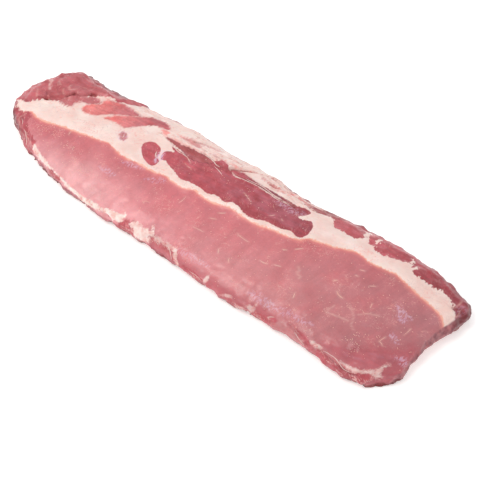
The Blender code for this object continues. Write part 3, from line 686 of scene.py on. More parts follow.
def place(mesh: bpy.types.Mesh, places: np.ndarray) -> None:
    """Move the vertices of a mesh to places in millimetres."""
    mesh.vertices.foreach_set("co", (places * MM).astype(np.float32).ravel())
    mesh.update()


def store(mesh: bpy.types.Mesh, name: str, values: np.ndarray) -> None:
    """Write one number, or a row of three, for each vertex onto a mesh as an attribute.

    Args:
        mesh: The mesh.
        name: The attribute's name.
        values: A number or a row for each vertex.
    """
    kind, field = ("FLOAT_VECTOR", "vector") if values.ndim == 2 else ("FLOAT", "value")
    attribute = mesh.attributes.get(name) or mesh.attributes.new(name, kind, "POINT")
    attribute.data.foreach_set(field, values.astype(np.float32).ravel())


def new_object(data: bpy.types.ID, name: str) -> bpy.types.Object:
    """Put a mesh, a lamp or a camera into the scene.

    Args:
        data: The mesh, lamp or camera.
        name: What the object is called.

    Returns:
        The object, at the origin.
    """
    obj = bpy.data.objects.new(name, data)
    bpy.context.scene.collection.objects.link(obj)
    return obj


def settle(obj: bpy.types.Object) -> bpy.types.Object:
    """Replace an object's mesh by what its modifiers make of it, and take the modifiers off.

    Args:
        obj: The object, with its modifiers still live.

    Returns:
        The same object, now one plain mesh.
    """
    graph = bpy.context.evaluated_depsgraph_get()
    mesh = bpy.data.meshes.new_from_object(obj.evaluated_get(graph))
    obj.modifiers.clear()
    obj.data = mesh
    mesh.name = obj.name
    return obj


def copy_of(node: bpy.types.Object, name: str) -> bpy.types.Object:
    """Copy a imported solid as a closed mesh, whose doubled corners are merged.

    Args:
        node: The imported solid.
        name: What the copy is called.

    Returns:
        The copy.
    """
    solid = bmesh.new()
    solid.from_mesh(node.data)
    bmesh.ops.remove_doubles(solid, verts=solid.verts, dist=WELD_MM * MM)
    mesh = bpy.data.meshes.new(name)
    solid.to_mesh(mesh)
    solid.free()
    return new_object(mesh, name)


def drop_scraps(mesh: bpy.types.Mesh) -> None:
    """Delete the specks that a voxel remesh leaves beside the body it makes.

    Args:
        mesh: The mesh, of which the largest connected body stays.
    """
    solid = bmesh.new()
    solid.from_mesh(mesh)
    loose, bodies = set(solid.verts), []
    while loose:
        body, front = set(), [loose.pop()]
        while front:
            vert = front.pop()
            body.add(vert)
            beside = {edge.other_vert(vert) for edge in vert.link_edges} & loose
            loose -= beside
            front.extend(beside)
        bodies.append(body)
    kept = max(bodies, key=len)
    scraps = [vert for vert in solid.verts if vert not in kept]
    bmesh.ops.delete(solid, geom=scraps, context="VERTS")
    solid.to_mesh(mesh)
    solid.free()


def new_material(name: str, **values: Any) -> tuple[bpy.types.Material, Node, Socket]:
    """Start a material on a Principled shader.

    Args:
        name: What it is made of.
        **values: The shader's own settings, by the socket's name with _ for each space.

    Returns:
        The material, its shader node, and the socket that holds Object coordinates in mm.
    """
    made = bpy.data.materials.new(name)
    made.use_nodes = True
    shader = made.node_tree.nodes["Principled BSDF"]
    for socket, value in values.items():
        shader.inputs[socket.replace("_", " ")].default_value = value
    coordinates = add(made.node_tree, "ShaderNodeTexCoord", out="Object")
    where = add(made.node_tree, "ShaderNodeVectorMath", {0: coordinates, "Scale": 1 / MM},
                operation="SCALE")
    return made, shader, where


def drifting(tree: Tree, where: Socket, size_mm: float, low: str, high: str) -> Socket:
    """Let a colour drift between two in patches.

    Args:
        tree: The material's tree.
        where: Object coordinates in mm.
        size_mm: The size of the patches.
        low: The colour where the noise is low.
        high: The colour where it is high.

    Returns:
        The colour.
    """
    noise = add(tree, "ShaderNodeTexNoise", {"Vector": where, "Scale": 1 / size_mm, "Detail": 4.0})
    share = add(tree, "ShaderNodeMapRange", {
        "Value": noise, "From Min": DRIFT_SPAN[0], "From Max": DRIFT_SPAN[1]})
    return add(tree, "ShaderNodeMix", {0: share, 6: linear(low), 7: linear(high)}, 2, **RGBA)


def mottled(tree: Tree, where: Socket, colour: Socket, mottles: Sequence[Mottle]) -> Socket:
    """Lighten and darken a colour by noise of several sizes.

    Args:
        tree: The material's tree.
        where: Object coordinates in mm.
        colour: The even colour.
        mottles: The noises.

    Returns:
        The mottled colour.
    """
    light = 1.0 - sum(mottle.share for mottle in mottles) * NOISE_SPREAD / 2
    for mottle in mottles:
        turned = add(tree, "ShaderNodeMapping", {
            "Vector": where, "Scale": mottle.size_mm, "Rotation": (0.0, 0.0, math.radians(mottle.turn_deg))},
            vector_type="TEXTURE")
        noise = add(tree, "ShaderNodeTexNoise", {"Vector": turned, "Scale": 1.0, "Detail": 3.0})
        light = add(tree, "ShaderNodeMath", {0: noise, 1: mottle.share * NOISE_SPREAD, 2: light},
                    operation="MULTIPLY_ADD")
    return add(tree, "ShaderNodeVectorMath", {0: colour, "Scale": light}, operation="SCALE")


def wispy(tree: Tree, where: Socket, colour: Socket, wisps: Sequence[Wisp],
          within: float | Socket = 1.0) -> Socket:
    """Draw thin wandering lines over a colour.

    Args:
        tree: The material's tree.
        where: Object coordinates in mm.
        colour: The colour under them.
        wisps: The lines.
        within: How much of them shows, as a number or a socket.

    Returns:
        The colour with the lines on it.
    """
    for wisp in wisps:
        turned = add(tree, "ShaderNodeMapping", {
            "Vector": where, "Scale": wisp.size_mm, "Rotation": (0.0, 0.0, math.radians(wisp.turn_deg))},
            vector_type="TEXTURE")
        noise = add(tree, "ShaderNodeTexNoise", {
            "Vector": turned, "Scale": 1.0, "Detail": 2.0, "Distortion": 0.5})
        centred = add(tree, "ShaderNodeMath", {0: noise, 1: NOISE_MIDDLE}, operation="SUBTRACT")
        away = add(tree, "ShaderNodeMath", {0: centred}, operation="ABSOLUTE")
        line = add(tree, "ShaderNodeMapRange", {
            "Value": away, "From Min": wisp.width, "From Max": wisp.core * wisp.width}, **EASED)
        patches = add(tree, "ShaderNodeTexNoise", {"Vector": where, "Scale": 1 / wisp.patch_mm})
        shown = add(tree, "ShaderNodeMapRange", {
            "Value": patches, "From Min": wisp.patch_span[0], "From Max": wisp.patch_span[1],
            "To Max": wisp.strength}, **EASED)
        both = add(tree, "ShaderNodeMath", {0: line, 1: shown}, operation="MULTIPLY")
        share = add(tree, "ShaderNodeMath", {0: both, 1: within}, operation="MULTIPLY")
        colour = add(tree, "ShaderNodeMix", {0: share, 6: colour, 7: linear(wisp.colour)}, 2, **RGBA)
    return colour


def graded(tree: Tree, at: Socket, stops: Ramp) -> Socket:
    """Pass through a row of colours as a number rises.

    Args:
        tree: The material's tree.
        at: The number.
        stops: At which numbers it reaches which colours.

    Returns:
        The colour.
    """
    colour = linear(stops[0][1])
    for (before, _), (after, code) in zip(stops, stops[1:]):
        share = add(tree, "ShaderNodeMapRange", {"Value": at, "From Min": before, "From Max": after})
        colour = add(tree, "ShaderNodeMix", {0: share, 6: colour, 7: linear(code)}, 2, **RGBA)
    return colour


def new_tree(name: str, sizes: dict[str, float]) -> tuple[Tree, Node, Node]:
    """Start a Geometry Nodes tree with named inputs.

    Args:
        name: The tree's name.
        sizes: Its number inputs by name, with their values.

    Returns:
        The tree, its input node and its output node.
    """
    tree = bpy.data.node_groups.new(name, "GeometryNodeTree")
    tree.interface.new_socket(name="Geometry", in_out="INPUT", socket_type="NodeSocketGeometry")
    for size, value in sizes.items():
        kind = "NodeSocketInt" if isinstance(value, int) else "NodeSocketFloat"
        tree.interface.new_socket(name=size, in_out="INPUT", socket_type=kind).default_value = value
    tree.interface.new_socket(name="Material", in_out="INPUT", socket_type="NodeSocketMaterial")
    tree.interface.new_socket(name="Geometry", in_out="OUTPUT", socket_type="NodeSocketGeometry")
    return tree, add(tree, "NodeGroupInput").node, add(tree, "NodeGroupOutput")


def end_tree(tree: Tree, shape: Socket, start: Node, end: Node) -> Tree:
    """End a Geometry Nodes tree: make instances real, shade them smooth and give them their material.

    Args:
        tree: The tree.
        shape: The socket that holds the shape so far.
        start: The tree's input node.
        end: The tree's output node.

    Returns:
        The tree.
    """
    real = add(tree, "GeometryNodeRealizeInstances", {"Geometry": shape})
    shaded = add(tree, "GeometryNodeSetShadeSmooth", {"Geometry": real, "Shade Smooth": True})
    painted = add(tree, "GeometryNodeSetMaterial", {
        "Geometry": shaded, "Material": start.outputs["Material"]})
    tree.links.new(painted, end.inputs["Geometry"])
    return tree


def run_tree(obj: bpy.types.Object, tree: Tree, material: bpy.types.Material) -> bpy.types.Object:
    """Run a Geometry Nodes tree on an object and keep the result as its mesh.

    Args:
        obj: The object.
        tree: The tree, whose inputs already hold their sizes.
        material: What the result is made of.

    Returns:
        The same object.
    """
    modifier = obj.modifiers.new(tree.name, "NODES")
    modifier.node_group = tree
    sockets = {item.name: item.identifier for item in tree.interface.items_tree if item.in_out == "INPUT"}
    modifier[sockets["Material"]] = material
    return settle(obj)


def noisy_offset(tree: Tree, height: Socket, size: Socket, squeeze: float = 1.0) -> Socket:
    """Noise as a height to either side of nothing.

    Args:
        tree: A Geometry Nodes tree.
        height: The socket with the height in metres.
        size: The socket with the size of the noise's lumps in metres.
        squeeze: How much the rack's length is squeezed before the noise is laid on, which draws it out.

    Returns:
        The height at each point.
    """
    scale = add(tree, "ShaderNodeMath", {0: 1.0, 1: size}, operation="DIVIDE")
    position = add(tree, "GeometryNodeInputPosition")
    squeezed = add(tree, "ShaderNodeVectorMath", {0: position, 1: (squeeze, 1.0, 1.0)},
                   operation="MULTIPLY")
    noise = add(tree, "ShaderNodeTexNoise", {"Vector": squeezed, "Scale": scale, "Detail": 2.0})
    centred = add(tree, "ShaderNodeMath", {0: noise, 1: NOISE_MIDDLE}, operation="SUBTRACT")
    swung = add(tree, "ShaderNodeMath", {0: centred, 1: NOISE_SPREAD / 2}, operation="MULTIPLY")
    return add(tree, "ShaderNodeMath", {0: swung, 1: height}, operation="MULTIPLY")


@dataclass(frozen=True)
class Layer:
    """How the shader lays one tissue over what is under it.

    The border is pushed to and fro by noise: by ragged_mm at most places, in teeth of ragged_size_mm that
    are teeth times as long across the rack as along it. The colour drifts between its two values in patches
    of drift_mm. Where broken_mm is above 0 the tissue covers only in spots of that size, broken_stretch
    times as long across the rack, which come in over broken_span of a noise.
    """

    tissue: Tissue
    ragged_mm: float
    ragged_size_mm: float
    teeth: float
    pale: str
    deep: str
    drift_mm: float
    mottles: tuple[Mottle, ...] = ()
    wisps: tuple[Wisp, ...] = ()
    broken_mm: float = 0.0
    broken_stretch: float = 2.2
    broken_span: Span = (0.42, 0.6)

    def mask(self, tree: Tree, where: Socket, depth: Socket) -> Socket:
        """Work out where the tissue covers what is under it.

        Args:
            tree: The material's tree.
            where: Object coordinates in mm.
            depth: How far in from the tissue's outlines each place lies, in mm.

        Returns:
            How fully it covers each place, from 0 to 1.
        """
        border = add(tree, "ShaderNodeAttribute", None, "Vector",
                     attribute_name=f"{self.tissue.value}_border")
        soft, torn, most = add(tree, "ShaderNodeSeparateXYZ", {0: border}).node.outputs
        size = self.ragged_size_mm
        teeth = add(tree, "ShaderNodeMapping", {
            "Vector": where, "Scale": (size, self.teeth * size, size)}, vector_type="TEXTURE")
        ragged = add(tree, "ShaderNodeTexNoise", {
            "Vector": teeth, "Scale": 1.0, "Detail": 5.0, "Roughness": 0.6})
        centred = add(tree, "ShaderNodeMath", {0: ragged, 1: NOISE_MIDDLE}, operation="SUBTRACT")
        pushed = add(tree, "ShaderNodeMath", {0: centred, 1: NOISE_SPREAD * self.ragged_mm},
                     operation="MULTIPLY")
        moved = add(tree, "ShaderNodeMath", {0: pushed, 1: torn, 2: depth}, operation="MULTIPLY_ADD")
        eased = add(tree, "ShaderNodeMath", {0: moved, 1: soft}, operation="DIVIDE")
        covered = add(tree, "ShaderNodeMapRange", {
            "Value": eased, "From Min": -1.0, "From Max": 1.0, "To Max": most}, **EASED)
        if not self.broken_mm:
            return covered
        spot = self.broken_mm
        hatch = add(tree, "ShaderNodeMapping", {
            "Vector": where, "Scale": (spot, self.broken_stretch * spot, spot)}, vector_type="TEXTURE")
        holes = add(tree, "ShaderNodeTexNoise", {"Vector": hatch, "Scale": 1.0, "Detail": 3.0})
        kept = add(tree, "ShaderNodeMapRange", {
            "Value": holes, "From Min": self.broken_span[0], "From Max": self.broken_span[1]}, **EASED)
        return add(tree, "ShaderNodeMath", {0: covered, 1: kept}, operation="MULTIPLY")


@dataclass(frozen=True)
class RawPork:
    """Raw pork, cut with a knife and wet: loin, darker muscles, back fat and sinew in one material.

    The real thing is a translucent, moist solid. That gives the eye soft light inside the meat, which the
    subsurface does, and small sharp glints off the wet surface, which the thin smooth coat does. Patches of
    painted sheen also lay a painted reflection of the light into the colour.

    A span says where something comes in and where it is full, in the values of a noise. One that is named
    facing goes by how far up the surface faces, from 1 on the level to -1 underneath. A size_mm is that of
    a noise's patches, and a swing_mm how far a noise moves a border.
    """

    loin: Ramp = (
        (0.0, "#e2a8af"), (0.16, "#edb0b3"), (0.4, "#e3949a"), (0.66, "#d58a8e"), (0.84, "#c2797e"),
        (1.0, "#b9757b"))
    loin_from_mm: float = -190.0
    loin_to_mm: float = 215.0
    loin_width_mm: float = 42.0
    near_seam: str = "#c65c66"
    near_seam_share: float = 0.8
    near_seam_mm: float = 10.0
    near_seam_size_mm: float = 30.0
    near_seam_swing_mm: float = 26.0
    loin_mottles: tuple[Mottle, ...] = (
        Mottle((4.0, 24.0, 8.0), 0.045, -12.0), Mottle((16.0, 16.0, 16.0), 0.09),
        Mottle((1.3, 1.3, 1.3), 0.045))
    loin_wisps: tuple[Wisp, ...] = (
        Wisp((7.0, 4.0, 4.0), 0.012, 16.0, "#ecb9ab", 0.6, 30.0),
        Wisp((3.5, 6.0, 4.0), 0.010, 22.0, "#efc4b8", 0.55, -20.0))
    redder: str = "#cb666d"
    redder_share: float = 0.4
    redder_size_mm: float = 20.0
    redder_span: Span = (0.46, 0.7)
    glow: str = "#ee9088"
    glow_share: float = 0.7
    glow_mm: float = 4.5
    fringe: str = "#f4b7a3"
    fringe_share: float = 0.9
    fringe_mm: float = 1.7
    fringe_end_mm: float = 2.0
    fringe_size_mm: float = 9.0
    fringe_swing_mm: float = 4.0
    tones: Ramp = (
        (Tone.BROWN.value, "#b25d60"), (Tone.DEEP.value, "#8c404c"), (Tone.MAROON.value, "#a84853"),
        (Tone.DARK.value, "#c65d68"), (Tone.DUSKY.value, "#c4686f"), (Tone.ROSE.value, "#d0767b"),
        (Tone.SALMON.value, "#fb9590"))
    layers: tuple[Layer, ...] = (
        # The blush layer: a deeper red that is partly painted shade.
        Layer(Tissue.BLUSH_AND_SHADE, 1.0, 8.0, 1.0, "#c0606a", "#a94f5a", 12.0, (Mottle((9.0, 3.0, 3.0), 0.07),)),
        Layer(Tissue.FAT, 0.9, 2.6, 1.8, "#f8e1da", "#f2d1c9", 16.0,
              (Mottle((12.0, 12.0, 12.0), 0.025), Mottle((5.0, 1.6, 2.0), 0.025, 15.0)),
              (Wisp((7.0, 4.0, 4.0), 0.022, 13.0, "#ee9f98", 0.55, 20.0),
               Wisp((5.0, 5.0, 5.0), 0.012, 24.0, "#c9aeb0", 0.5))),
        Layer(Tissue.MUSCLE, 1.1, 2.2, 2.2, "#ffffff", "#ecd2d2", 9.0,
              (Mottle((16.0, 2.6, 4.0), 0.12, 6.0), Mottle((8.0, 8.0, 8.0), 0.11),
               Mottle((1.3, 1.3, 1.3), 0.06)),
              (Wisp((14.0, 2.2, 3.0), 0.010, 14.0, "#dc9a98", 0.6, -35.0),
               Wisp((4.0, 9.0, 4.0), 0.012, 12.0, "#e0a5a0", 0.5, 10.0))),
        Layer(Tissue.SINEW, 1.0, 2.4, 1.0, "#fae8e2", "#edc0b8", 5.0,
              (Mottle((7.0, 3.0, 3.0), 0.04),), (Wisp((9.0, 3.0, 3.0), 0.045, 5.0, "#e08a8a", 0.9, 35.0),)),
        # The painted sheen: a lilac painted reflection of the light, broken into spots.
        Layer(Tissue.PAINTED_SHEEN, 1.0, 3.0, 1.0, "#dcb8d6", "#eccfe4", 4.0, broken_mm=1.2))
    # Brownish lines on the fat cap: its streaks, partly painted shade of its small folds.
    cap_wisps: tuple[Wisp, ...] = (
        Wisp((22.0, 4.0, 4.0), 0.03, 13.0, "#c98a80", 0.6, 6.0),
        Wisp((14.0, 3.0, 3.0), 0.03, 10.0, "#e89f90", 0.6, -8.0))
    cap_depth_mm: Span = (24.0, 38.0)
    # Streaks on the near cut face: pale fibres that are partly painted highlight, and dark lean.
    near_wisps: tuple[Wisp, ...] = (
        Wisp((10.0, 2.4, 4.0), 0.045, 6.0, "#efc3bd", 0.6, -20.0),
        Wisp((9.0, 2.2, 3.5), 0.045, 8.0, "#8f3c48", 0.5, -26.0))
    trace: str = "#e9bdb2"
    # low and low_mm: painted shade on the steep sides, darkest where they meet the floor and gone low_mm up.
    low: str = "#a8605e"
    low_mm: float = 7.0
    # crease and the crease spans: painted shade in folds and gaps, darkest along their middle.
    crease: str = "#a5403f"
    crease_share: float = 0.45
    crease_line_mm: Span = (1.1, 0.2)
    crease_size_mm: float = 2.5
    crease_swing_mm: float = 1.6
    # near_pale and near_deep: the near cut face's own darker red and fat, partly painted shade.
    near_pale: str = "#cb7d84"
    near_deep: str = "#9f4a56"
    near_facing: Span = (0.45, 0.1)
    # far_pale, far_deep and far_lean: painted shade on the turned-down far side, partly its own darker
    # tissue; far_facing and far_tilt set where it comes in, earlier towards the fat cap.
    far_pale: str = "#bb7276"
    far_deep: str = "#85404a"
    far_lean: str = "#76262f"
    far_lean_depth_mm: Span = (-1.5, 2.5)
    far_facing: Span = (0.6, 0.3)
    far_tilt: float = 0.22
    far_tilt_over_mm: float = 40.0
    under_meat: str = "#b8666b"
    under_skin: str = "#d9b0ac"
    under_facing: Span = (-0.3, -0.7)
    streak_size_mm: float = 5.0
    streak_stretch: float = 3.0
    grain_size_mm: float = 0.9
    grain_mm: float = 0.2
    grain_strength: float = 0.5
    roughness: float = 0.44
    roughness_swing: float = 0.11
    roughness_size_mm: float = 9.0
    roughness_span: Span = (0.3, 0.7)
    coat: float = 0.3
    coat_roughness: float = 0.16
    subsurface: float = 0.25
    subsurface_mm: float = 1.6
    subsurface_reach: Triple = (1.0, 0.45, 0.35)

    def material(self) -> bpy.types.Material:
        """Build the material.

        Returns:
            The material, which reads the attributes that RackMap writes on the mesh.
        """
        made, shader, where = new_material(
            "raw_pork_loin_and_back_fat", Coat_Weight=self.coat, Coat_Roughness=self.coat_roughness,
            IOR=TISSUE_IOR, Subsurface_Weight=self.subsurface, Subsurface_Radius=self.subsurface_reach,
            Subsurface_Scale=self.subsurface_mm * MM)
        tree = made.node_tree
        steep, near_side, far_side, below = self._sides(tree, where)
        # The near cut face: its own darker red and fat, partly painted shade.
        colour = self._cover(tree, where, near_side, self.near_pale, self.near_deep, self._loin(tree, where))
        for layer in self.layers:
            colour = self._lay(tree, where, layer, colour)
        traced = add(tree, "ShaderNodeAttribute", None, "Fac", attribute_name="trace")
        colour = add(tree, "ShaderNodeMix", {0: traced, 6: colour, 7: linear(self.trace)}, 2, **RGBA)
        # Painted shade in the creases.
        colour = self._creases(tree, where, colour)
        # The turned-down far side: painted shade, partly its darker tissue, and deepest where it is muscle.
        colour = self._cover(tree, where, far_side, self.far_pale, self.far_deep, colour)
        lean = add(tree, "ShaderNodeAttribute", None, "Fac", attribute_name=Tissue.MUSCLE.value)
        rim = add(tree, "ShaderNodeMapRange", {
            "Value": lean, "From Min": self.far_lean_depth_mm[0], "From Max": self.far_lean_depth_mm[1]},
            **EASED)
        far_lean_painted_shade = add(tree, "ShaderNodeMath", {0: rim, 1: far_side}, operation="MULTIPLY")
        colour = add(tree, "ShaderNodeMix", {0: far_lean_painted_shade, 6: colour, 7: linear(self.far_lean)}, 2, **RGBA)
        colour = self._cover(tree, where, below, self.under_skin, self.under_meat, colour)
        # Painted shade along the bottom of the steep sides, where the rack meets the floor.
        height = add(tree, "ShaderNodeSeparateXYZ", {0: where}, "Z")
        low = add(tree, "ShaderNodeMapRange", {"Value": height, "From Min": self.low_mm, "From Max": 0.0},
                  **EASED)
        painted_low_shade = add(tree, "ShaderNodeMath", {0: low, 1: steep}, operation="MULTIPLY")
        colour = add(tree, "ShaderNodeMix", {0: painted_low_shade, 6: colour, 7: linear(self.low)}, 2,
                     **RGBA, blend_type="MULTIPLY")
        tree.links.new(colour, shader.inputs["Base Color"])
        tree.links.new(self._grain(tree, where), shader.inputs["Normal"])
        damp = add(tree, "ShaderNodeTexNoise", {
            "Vector": where, "Scale": 1 / self.roughness_size_mm, "Detail": 3.0})
        wetness = add(tree, "ShaderNodeMapRange", {
            "Value": damp, "From Min": self.roughness_span[0], "From Max": self.roughness_span[1],
            "To Min": self.roughness - self.roughness_swing,
            "To Max": self.roughness + self.roughness_swing})
        tree.links.new(wetness, shader.inputs["Roughness"])
        return made

    def _sides(self, tree: Tree, where: Socket) -> tuple[Socket, Socket, Socket, Socket]:
        """Tell the rack's sides from its top.

        Args:
            tree: The material's tree.
            where: Object coordinates in mm.

        Returns:
            How much each place belongs to any side, to the near side, to the far one and to the underside.
        """
        facing = add(tree, "ShaderNodeAttribute", None, "Fac", attribute_name="facing")
        near = add(tree, "ShaderNodeAttribute", None, "Fac", attribute_name="near")
        steep = add(tree, "ShaderNodeMapRange", {
            "Value": facing, "From Min": self.near_facing[0], "From Max": self.near_facing[1]}, **EASED)
        near_side = add(tree, "ShaderNodeMath", {0: steep, 1: near}, operation="MULTIPLY")
        y = add(tree, "ShaderNodeSeparateXYZ", {0: where}, "Y")
        tilt = add(tree, "ShaderNodeMapRange", {
            "Value": y, "From Max": self.far_tilt_over_mm, "To Max": self.far_tilt})
        lowered = add(tree, "ShaderNodeMath", {0: facing, 1: tilt}, operation="SUBTRACT")
        turned = add(tree, "ShaderNodeMapRange", {
            "Value": lowered, "From Min": self.far_facing[0], "From Max": self.far_facing[1]}, **EASED)
        far = add(tree, "ShaderNodeMath", {0: 1.0, 1: near}, operation="SUBTRACT")
        far_side = add(tree, "ShaderNodeMath", {0: turned, 1: far}, operation="MULTIPLY")
        below = add(tree, "ShaderNodeMapRange", {
            "Value": facing, "From Min": self.under_facing[0], "From Max": self.under_facing[1]}, **EASED)
        return steep, near_side, far_side, below

    def _loin(self, tree: Tree, where: Socket) -> Socket:
        """Colour the big pale muscle: redder by the seam with the fat, and duskier to the right.

        Args:
            tree: The material's tree.
            where: Object coordinates in mm.

        Returns:
            The loin's colour.
        """
        x = add(tree, "ShaderNodeSeparateXYZ", {0: where}, "X")
        along = add(tree, "ShaderNodeMapRange", {
            "Value": x, "From Min": self.loin_from_mm, "From Max": self.loin_to_mm})
        depth = add(tree, "ShaderNodeAttribute", None, "Fac", attribute_name=Tissue.FAT.value)
        drift = add(tree, "ShaderNodeTexNoise", {
            "Vector": where, "Scale": 1 / self.near_seam_size_mm, "Detail": 2.0})
        moved = add(tree, "ShaderNodeMath", {0: drift, 1: self.near_seam_swing_mm, 2: depth},
                    operation="MULTIPLY_ADD")
        close = add(tree, "ShaderNodeMapRange", {
            "Value": moved, "From Min": self.near_seam_mm - self.loin_width_mm,
            "From Max": self.near_seam_mm, "To Max": self.near_seam_share}, **EASED)
        squared = add(tree, "ShaderNodeMath", {0: along, 1: along}, operation="MULTIPLY")
        left = add(tree, "ShaderNodeMath", {0: 1.0, 1: squared}, operation="SUBTRACT")
        reddened = add(tree, "ShaderNodeMath", {0: close, 1: left}, operation="MULTIPLY")
        colour = add(tree, "ShaderNodeMix", {
            0: reddened, 6: graded(tree, along, self.loin), 7: linear(self.near_seam)}, 2, **RGBA)
        spots = add(tree, "ShaderNodeTexNoise", {
            "Vector": where, "Scale": 1 / self.redder_size_mm, "Detail": 4.0, "Roughness": 0.55})
        share = add(tree, "ShaderNodeMapRange", {
            "Value": spots, "From Min": self.redder_span[0], "From Max": self.redder_span[1],
            "To Max": self.redder_share})
        colour = add(tree, "ShaderNodeMix", {0: share, 6: colour, 7: linear(self.redder)}, 2, **RGBA)
        colour = mottled(tree, where, colour, self.loin_mottles)
        colour = wispy(tree, where, colour, self.loin_wisps)
        patchy = add(tree, "ShaderNodeTexNoise", {
            "Vector": where, "Scale": 1 / self.fringe_size_mm, "Detail": 3.0})
        uneven = add(tree, "ShaderNodeMath", {0: patchy, 1: self.fringe_swing_mm, 2: depth},
                     operation="MULTIPLY_ADD")
        for code, width_mm, most in ((self.glow, self.glow_mm, self.glow_share),
                                     (self.fringe, self.fringe_mm, self.fringe_share)):
            share = add(tree, "ShaderNodeMapRange", {
                "Value": uneven, "From Min": self.fringe_end_mm - width_mm, "From Max": self.fringe_end_mm,
                "To Max": most}, **EASED)
            colour = add(tree, "ShaderNodeMix", {0: share, 6: colour, 7: linear(code)}, 2, **RGBA)
        return colour

    def _lay(self, tree: Tree, where: Socket, layer: Layer, under: Socket) -> Socket:
        """Lay one tissue over what is under it.

        Args:
            tree: The material's tree.
            where: Object coordinates in mm.
            layer: The tissue and its border.
            under: The colour so far.

        Returns:
            The colour with the tissue on it.
        """
        depth = add(tree, "ShaderNodeAttribute", None, "Fac", attribute_name=layer.tissue.value)
        mask = layer.mask(tree, where, depth)
        colour = drifting(tree, where, layer.drift_mm, layer.pale, layer.deep)
        if layer.tissue is Tissue.MUSCLE:
            tone = add(tree, "ShaderNodeAttribute", None, "Fac", attribute_name="tone")
            colour = add(tree, "ShaderNodeMix", {0: 1.0, 6: colour, 7: graded(tree, tone, self.tones)}, 2,
                         **RGBA, blend_type="MULTIPLY")
        if layer.mottles:
            colour = mottled(tree, where, colour, layer.mottles)
        colour = wispy(tree, where, colour, layer.wisps)
        if layer.tissue is Tissue.MUSCLE:
            near = add(tree, "ShaderNodeAttribute", None, "Fac", attribute_name="near")
            colour = wispy(tree, where, colour, self.near_wisps, near)
        if layer.tissue is Tissue.FAT:
            cap = add(tree, "ShaderNodeMapRange", {
                "Value": depth, "From Min": self.cap_depth_mm[0], "From Max": self.cap_depth_mm[1]})
            colour = wispy(tree, where, colour, self.cap_wisps, cap)
        return add(tree, "ShaderNodeMix", {0: mask, 6: under, 7: colour}, 2, **RGBA)

    def _creases(self, tree: Tree, where: Socket, under: Socket) -> Socket:
        """Paint shade into folds and gaps: softly to either side, and in a thin wandering line along the
        middle.

        Args:
            tree: The material's tree.
            where: Object coordinates in mm.
            under: The top's colour.

        Returns:
            The darkened colour.
        """
        depth = add(tree, "ShaderNodeAttribute", None, "Fac", attribute_name="crease")
        side = add(tree, "ShaderNodeAttribute", None, "Fac", attribute_name="crease_side")
        wobble = add(tree, "ShaderNodeTexNoise", {
            "Vector": where, "Scale": 1 / self.crease_size_mm, "Detail": 3.0})
        moved = add(tree, "ShaderNodeMath", {0: wobble, 1: self.crease_swing_mm, 2: side},
                    operation="MULTIPLY_ADD")
        centred = add(tree, "ShaderNodeMath", {0: moved, 1: NOISE_MIDDLE * self.crease_swing_mm},
                      operation="SUBTRACT")
        away = add(tree, "ShaderNodeMath", {0: centred}, operation="ABSOLUTE")
        line = add(tree, "ShaderNodeMapRange", {
            "Value": away, "From Min": self.crease_line_mm[0], "From Max": self.crease_line_mm[1],
            "To Min": self.crease_share, "To Max": 1.0}, **EASED)
        share = add(tree, "ShaderNodeMath", {0: line, 1: depth}, operation="MULTIPLY")
        return add(tree, "ShaderNodeMix", {0: share, 6: under, 7: linear(self.crease)}, 2,
                   **RGBA, blend_type="MULTIPLY")

    def _cover(self, tree: Tree, where: Socket, share: Socket, pale: str, deep: str,
               under: Socket) -> Socket:
        """Cover a side of the rack with two tissues that lie in streaks along it. On the near and far sides
        the colours are partly painted shade.

        Args:
            tree: The material's tree.
            where: Object coordinates in mm.
            share: How much of the side's colour shows.
            pale: The fat's or the skin's colour.
            deep: The lean's colour.
            under: The colour so far.

        Returns:
            The colour with the side on it.
        """
        streaks = add(tree, "ShaderNodeMapping", {
            "Vector": where, "Scale": (self.streak_stretch, 1.0, 1.0)}, vector_type="TEXTURE")
        colour = drifting(tree, streaks, self.streak_size_mm, deep, pale)
        return add(tree, "ShaderNodeMix", {0: share, 6: under, 7: colour}, 2, **RGBA)

    def _grain(self, tree: Tree, where: Socket) -> Socket:
        """Make the grain of the cut, which is too fine for the mesh, as a bumped normal."""
        fine = add(tree, "ShaderNodeTexNoise", {
            "Vector": where, "Scale": 1 / self.grain_size_mm, "Detail": 3.0})
        return add(tree, "ShaderNodeBump", {
            "Height": fine, "Strength": self.grain_strength, "Distance": self.grain_mm * MM})


@dataclass(frozen=True)
class ConnectiveTissue:
    """Sinew and marbling: nearly white, a little see-through, with a satin gleam under the juice."""

    name: str
    pale: str
    deep: str
    roughness: float = 0.38
    drift_mm: float = 4.0
    subsurface: float = 0.3
    subsurface_mm: float = 1.0
    subsurface_reach: Triple = (1.0, 0.6, 0.5)

    def material(self) -> bpy.types.Material:
        """Build the material, which drifts between its two colours.

        Returns:
            The material.
        """
        made, shader, where = new_material(
            self.name, Roughness=self.roughness, IOR=TISSUE_IOR, Subsurface_Weight=self.subsurface,
            Subsurface_Radius=self.subsurface_reach, Subsurface_Scale=self.subsurface_mm * MM)
        colour = drifting(made.node_tree, where, self.drift_mm, self.pale, self.deep)
        made.node_tree.links.new(colour, shader.inputs["Base Color"])
        return made


